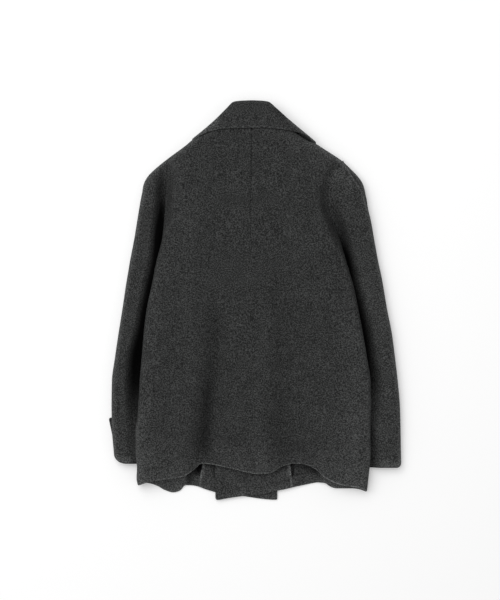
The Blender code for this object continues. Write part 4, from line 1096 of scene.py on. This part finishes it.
def sleeve_top(side, name, node):
    """Sewn into the armhole, over the outer fold and back underneath."""
    fixed, share, above = there_and_back(UPPER_STEPS, LOWER_STEPS)
    reach = abs(side.sleeve_outer_x(side.cuff_y) - sleeve_seam_x(side, side.cuff_y))
    from_fold = np.abs(reach * (1.0 - share) - fixed)
    corner = side.cuff_corner.lift * (1.0 - rounded(from_fold, side.cuff_corner.width))
    y = spaced(side.cuff_y + corner, side.shoulder_end.y - SLEEVE_TOP_GAP, SLEEVE_ROWS)
    seam = sleeve_seam_x(side, y)
    width = np.abs(side.sleeve_outer_x(y) - seam)
    squeeze = squeezed(width, SLEEVE_ROUND + PLAIN_STEPS[-1])
    x = seam + side.sign * (fixed * squeeze + share * width)
    from_edge = side.from_sleeve_edge(x, y)
    height = sleeve_heights(side, x, y, above, side.sleeve_fold_height(y),
                            rounded(from_edge, SLEEVE_ROUND))
    from_cuff = y - y[:1]
    thickness = hem_thickness(from_cuff, CUFF_TURN)
    at = {"x": x, "y": y, "middle": np.abs(x), "cuff": from_cuff, "fold": from_edge}
    shade = side.beside_body(x, y) + fold_at(side.arm_shade, x, y)
    dark = np.where(above, shade, 0.0) + painted(CUFF_LINE_SHADE, at)
    light = painted(side.own(LEFT_SLEEVE_LIGHT, RIGHT_SLEEVE_LIGHT), at)
    if side is RIGHT:
        at["beyond"] = beyond_line(x, y, HEAD_LAYER)
        layer = smooth((HEAD_HALF - np.abs(y - HEAD_MIDDLE_Y)) / HEAD_END) * above
        height = height - HEAD_STEP * PAST_HEAD_EDGE(at) * layer
        dark = dark + painted(HEAD_SHADE, at) * layer
        light = light + painted(HEAD_LIGHT, at) * layer
    sheet(name, stack(x, y, height), thickness, WOOL, [node],
          turned=side is LEFT, edge=edge_share(from_cuff, thickness), dark=dark, light=light)


def sleeve_under(side, name, node):
    """Closes the sleeve round its inner fold, under the body."""
    fixed, share, above = there_and_back(UNDER_STEPS, UNDER_STEPS)
    cuff = side.cuff_y + np.zeros(len(fixed))
    y = spaced(cuff, SLEEVE_CLOSES_Y - UNDER_TOP_GAP, SLEEVE_ROWS)
    seam = sleeve_seam_x(side, y) - side.sign * SEAM
    inner = side.at(y, "inner")
    width = np.abs(inner - seam)
    squeeze = squeezed(width, INNER_ROUND + PLAIN_STEPS[-1])
    x = seam - side.sign * (fixed * squeeze + share * width)
    height = sleeve_heights(side, x, y, above, side.at(y, "valley") / 2,
                            rounded(np.abs(x - inner), INNER_ROUND))
    from_cuff = y - y[:1]
    thickness = hem_thickness(from_cuff, CUFF_TURN)
    sheet(name, stack(x, y, height), thickness, WOOL, [node], turned=side is RIGHT,
          edge=edge_share(from_cuff, thickness), dark=HIDDEN_SHADE)


def strap(side, name, node):
    """The cuff strap lies under the sleeve; its slanted end looks out past the sleeve's edge."""
    up = spaced(0.0, STRAP_WIDTH, as_rows(ruler(FREE_EDGE, 8, FREE_EDGE)))
    from_side = np.minimum(up, STRAP_WIDTH - up)
    rounding = STRAP_CORNER * (1.0 - rounded(from_side, STRAP_CORNER))
    tip = side.strap_tip - side.sign * (STRAP_SLANT * (1.0 - up / STRAP_WIDTH) + rounding)
    start = side.strap_tip - side.sign * STRAP_LENGTH
    x = spaced(start, tip, ruler(PLAIN_STEPS, 24, FREE_EDGE), side.sign)
    y = STRAP_Y - STRAP_WIDTH / 2 + up
    edge = edge_share(np.minimum(from_side, np.abs(tip - x)), STRAP_CLOTH)
    sheet(name, stack(x, y, 0.0), STRAP_CLOTH, WOOL, [node],
          turned=side is RIGHT, edge=edge)


# ---------------------------------------------------------------- collar and lapels
COLLAR_COLUMNS, WRAP_STEPS, COLLAR_FRONT_COLUMNS = 50, 28, 18
COLLAR_HALF = COLLAR_COLUMNS + WRAP_STEPS + COLLAR_FRONT_COLUMNS
ROLL_STEPS = 20
FAR_FROM_EDGE = 99.0


def along_line(points, t):
    """A point at a share of the length of an open line."""
    lengths = [math.hypot(b.x - a.x, b.y - a.y) for a, b in zip(points, points[1:])]
    left = t * sum(lengths)
    for (a, b), length in zip(zip(points, points[1:]), lengths):
        if left <= length:
            return between(a, b, left / length)
        left -= length
    return points[-1]


def collar_front_end(side, share):
    """The collar's front end: down the gorge seam, then along the notch to its tip."""
    start = Outline(float(side.front_free_x(GORGE_Y)), GORGE_Y + GORGE_GAP)
    seam_end = Outline(FRONT_MIDDLE_X + side.sign * GORGE_END.x, GORGE_END.y + GORGE_GAP)
    tip = Outline(FRONT_MIDDLE_X + side.sign * COLLAR_TIP.x, COLLAR_TIP.y)
    return along_line([start, seam_end, tip], share)


@lru_cache(maxsize=None)
def fall_rests_at(side, place):
    """Height of the fall's upper side where its edge lies on the back."""
    return min(COLLAR_TOP, float(side.back_height(place.x, place.y)) + COLLAR_CLOTH + COLLAR_CLEAR)


def collar_base(side, step, share):
    """Outer surface of the collar at a step round the neck, between its roll (0) and edge (1)."""
    turn = between(*side.turn, share)
    below = Outline(turn.x + side.inward.x * COLLAR_WRAP, turn.y + side.inward.y * COLLAR_WRAP)
    edge_end, angle = side.fall_edge[-1], 0.0
    if step <= COLLAR_COLUMNS:
        t = step / COLLAR_COLUMNS
        edge_end = along_line(side.fall_edge, t)
        place = between(along_line(side.roll, t), edge_end, share)
    elif step <= COLLAR_COLUMNS + WRAP_STEPS:
        angle = math.pi * (step - COLLAR_COLUMNS) / WRAP_STEPS
        above = between(side.roll[-1], edge_end, share)
        place = between(above if angle < math.pi / 2 else below, turn, math.sin(angle))
    else:
        t = (step - COLLAR_COLUMNS - WRAP_STEPS) / COLLAR_FRONT_COLUMNS
        place, angle = between(below, collar_front_end(side, share), t), math.pi
    upper = mix(COLLAR_TOP, fall_rests_at(side, edge_end), share)
    reach = upper - SHOULDER_HEIGHT if angle < math.pi / 2 else SHOULDER_HEIGHT
    outward = Vector((0.0, 0.0, math.cos(angle))) - side.inward * math.sin(angle)
    return Vector((place.x, place.y, SHOULDER_HEIGHT + reach * math.cos(angle))), outward


def collar_roll_point(side, step, angle, extra=0.0):
    """Place and normal on the roll of the collar: angle 0 is its outer side, pi its inner one."""
    start, outward = collar_base(side, step, 0.0)
    end, _ = collar_base(side, step, 1.0)
    down = end - start
    down.z = 0.0
    down.normalize()
    radius = STAND_DROP / 2
    place = (start + down * (radius * (1 - math.sin(angle)) + extra)
             - outward * (radius * (1 - math.cos(angle))))
    return place, outward * math.cos(angle) - down * math.sin(angle)


def bow_at(step):
    """0 at the centre back, 1 where the collar turns under, and 0 again at its front end."""
    if step <= COLLAR_COLUMNS:
        return (step / COLLAR_COLUMNS) ** 2
    return min(1.0, (COLLAR_HALF - step) / COLLAR_FRONT_COLUMNS)


def collar_fall(name, node):
    """The fall with its roll, wrapped round to the gorge seams under the fronts."""
    places, normals, from_edge = [], [], []
    for angle_step in range(ROLL_STEPS):
        angle = math.pi * (1 - angle_step / ROLL_STEPS)
        row = [collar_roll_point(side, abs(step), angle) for side, step in collar_steps()]
        places.append([place for place, _ in row])
        normals.append([outward for _, outward in row])
        from_edge.append([FAR_FROM_EDGE] * len(row))
    for fixed, share in zip(*ruler([0.0], 30, FREE_EDGE)):
        line, facing_out, left = [], [], []
        for side, step in collar_steps():
            first, _ = collar_roll_point(side, abs(step), 0.0)
            last, outward = collar_base(side, abs(step), 1.0)
            length = (last - first).length
            t = fixed / length + share
            belly = COLLAR_BELLY * max(0.0, outward.z) * math.sin(math.pi * t)
            bow = side.collar_bow * bow_at(abs(step)) * BOW_SCALE * t * (1 - t) ** 2
            line.append(first.lerp(last, t) + outward * belly + side.inward * bow)
            facing_out.append(outward)
            left.append(length * (1 - t))
        places.append(line)
        normals.append(facing_out)
        from_edge.append(left)
    from_edge, places = np.array(from_edge), np.array(places)
    x, y = places[..., 0], places[..., 1]
    at = {"x": x, "edge": from_edge,
          "turn": np.minimum(*(away_from_line(x, y, side.turn) for side in (LEFT, RIGHT))),
          "roll": np.minimum(*(away_from_line(x, y, side.roll) for side in (LEFT, RIGHT)))}
    sheet(name, places, COLLAR_CLOTH, COLLAR_WOOL, [node], turned=True,
          normals=np.array(normals), edge=edge_share(from_edge, COLLAR_CLOTH),
          light=painted(COLLAR_LIGHT, at))


def collar_steps():
    """Every step round the collar, from its left front end to its right one."""
    for step in range(-COLLAR_HALF, COLLAR_HALF + 1):
        yield (LEFT if step < 0 else RIGHT), step


def collar_stand(name, node):
    """Lies under the fall, from the neck seam up to the roll."""
    places = []
    for row in range(STAND_ROWS + 1):
        line = []
        for column in range(-STAND_COLUMNS, STAND_COLUMNS + 1):
            side = LEFT if column < 0 else RIGHT
            step = STAND_REACH * COLLAR_COLUMNS * abs(column) / STAND_COLUMNS
            top, _ = collar_roll_point(side, step, math.pi, STAND_GAP)
            foot = Vector((mix(CENTRE_BACK[-1].x, top.x, STAND_TAPER), NECK_Y + STAND_ABOVE_SEAM,
                           STAND_HEIGHT))
            line.append(top.lerp(foot, row / STAND_ROWS))
        places.append(line)
    sheet(name, np.array(places), COLLAR_CLOTH, COLLAR_WOOL, [node],
          dark=STAND_SHADE)


def lapel(side, name, node, start_y):
    """The turned-back lapel, lying on its outer side under the front."""
    tip = Vector((FRONT_MIDDLE_X + side.sign * LAPEL_TIP.x, LAPEL_TIP.y, 0.0))
    foot = Vector((float(side.front_free_x(start_y)), start_y, 0.0))
    out = Vector((-(tip.y - foot.y), tip.x - foot.x, 0.0)).normalized() * -side.sign
    columns = ruler(PLAIN_STEPS, 16, FREE_EDGE)
    rows = ruler(PLAIN_STEPS, 30, FREE_EDGE)
    length = (GORGE_Y - start_y) * (1 - LAPEL_FOOT)
    places, from_edge = [], []
    for a, b in zip(*rows):
        t = LAPEL_FOOT + (a + b * length) / (GORGE_Y - start_y)
        y = mix(start_y, GORGE_Y, t)
        roll = Vector((float(side.front_free_x(y)), y, 0.0))
        edge = foot.lerp(tip, t) + out * (LAPEL_BELLY * math.sin(math.pi * t))
        width = (edge - roll).length
        squeeze = float(squeezed(width, PLAIN_STEPS[-1] + FREE_EDGE[-1]))
        steps = [c * squeeze + d * width for c, d in zip(*columns)]
        places.append([roll.lerp(edge, step / width) for step in steps])
        from_edge.append([min(width - step, (1 - t) * length) for step in steps])
    sheet(name, np.array(places), COLLAR_CLOTH, COLLAR_WOOL, [node],
          turned=side is RIGHT, edge=edge_share(np.array(from_edge), COLLAR_CLOTH))


# ---------------------------------------------------------------- the coat
for half, word in ((LEFT, "left"), (RIGHT, "right")):
    back(half, f"back_cloth_{word}", f"back_{word}")
    front(half, f"front_cloth_{word}", f"front_{word}")
    facing(half, f"facing_cloth_{word}", f"facing_{word}")
    sleeve_top(half, f"sleeve_cloth_{word}", f"sleeve_top_{word}")
    sleeve_under(half, f"sleeve_under_cloth_{word}", f"sleeve_under_{word}")
    strap(half, f"strap_cloth_{word}", f"sleeve_strap_{word}")
lapel(LEFT, "lapel_cloth_left", "lapel_left", BREAK_Y)
lapel(RIGHT, "lapel_cloth_right", "lapel_right", COVERED_Y)
collar_fall("collar_cloth", "collar_fall")
collar_stand("collar_stand_cloth", "collar_stand")
for number in range(1, BUTTON_COUNT + 1):
    bpy.data.objects[f"button_{number}"].material_slots[0].material = BUTTON_HORN


# ---------------------------------------------------------------- floor, light and camera
# Sizes in this part are in metres; the lens and its sensor are in millimetres.
WHITE = (1.0, 1.0, 1.0, 1.0)
FLOOR_HALF, FLOOR_DROP = 4.0, 0.0003
FLOOR_SURFACE = {"Base Color": (0.865, 0.865, 0.865, 1.0), "Roughness": 0.9,
                 "Specular IOR Level": 0.0, "Emission Color": WHITE, "Emission Strength": 0.18}
WINDOW_PLACE, WINDOW_SIZE, WINDOW_POWER = (-1.3, 1.3, 4.0), 4.4, 156.0
ROOM_LIGHT = {"Color": WHITE, "Strength": 0.42}
CAMERA_PLACE, LENS, SENSOR = (-0.0112, 0.0017, 2.986), 85.0, 36.0


def floor():
    """A pale surface that the coat lies on."""
    bm = bmesh.new()
    bmesh.ops.create_grid(bm, x_segments=1, y_segments=1, size=FLOOR_HALF)
    bmesh.ops.translate(bm, verts=bm.verts, vec=(0.0, 0.0, -FLOOR_DROP))
    mesh = bpy.data.meshes.new("floor")
    bm.to_mesh(mesh)
    bm.free()
    made, _, _, shader = new_material("pale floor")
    settings(shader, FLOOR_SURFACE)
    mesh.materials.append(made)
    piece = bpy.data.objects.new("floor", mesh)
    bpy.context.collection.objects.link(piece)


def room():
    """Even light from all sides, and one broad window that looks at the middle of the coat."""
    world = bpy.data.worlds.new("soft room")
    world.use_nodes = True
    settings(world.node_tree.nodes["Background"], ROOM_LIGHT)
    bpy.context.scene.world = world
    lamp = bpy.data.lights.new("soft window", "AREA")
    lamp.shape = "SQUARE"
    lamp.size = WINDOW_SIZE
    lamp.energy = WINDOW_POWER
    window = bpy.data.objects.new("soft window", lamp)
    window.location = WINDOW_PLACE
    window.rotation_euler = (-Vector(WINDOW_PLACE)).to_track_quat("-Z", "Y").to_euler()
    bpy.context.collection.objects.link(window)
    bpy.context.scene.view_settings.view_transform = "Standard"


def camera():
    """Looks straight down."""
    lens = bpy.data.cameras.new("camera")
    lens.lens = LENS
    lens.sensor_width = SENSOR
    made = bpy.data.objects.new("camera", lens)
    made.location = CAMERA_PLACE
    bpy.context.collection.objects.link(made)
    bpy.context.scene.camera = made


floor()
room()
camera()
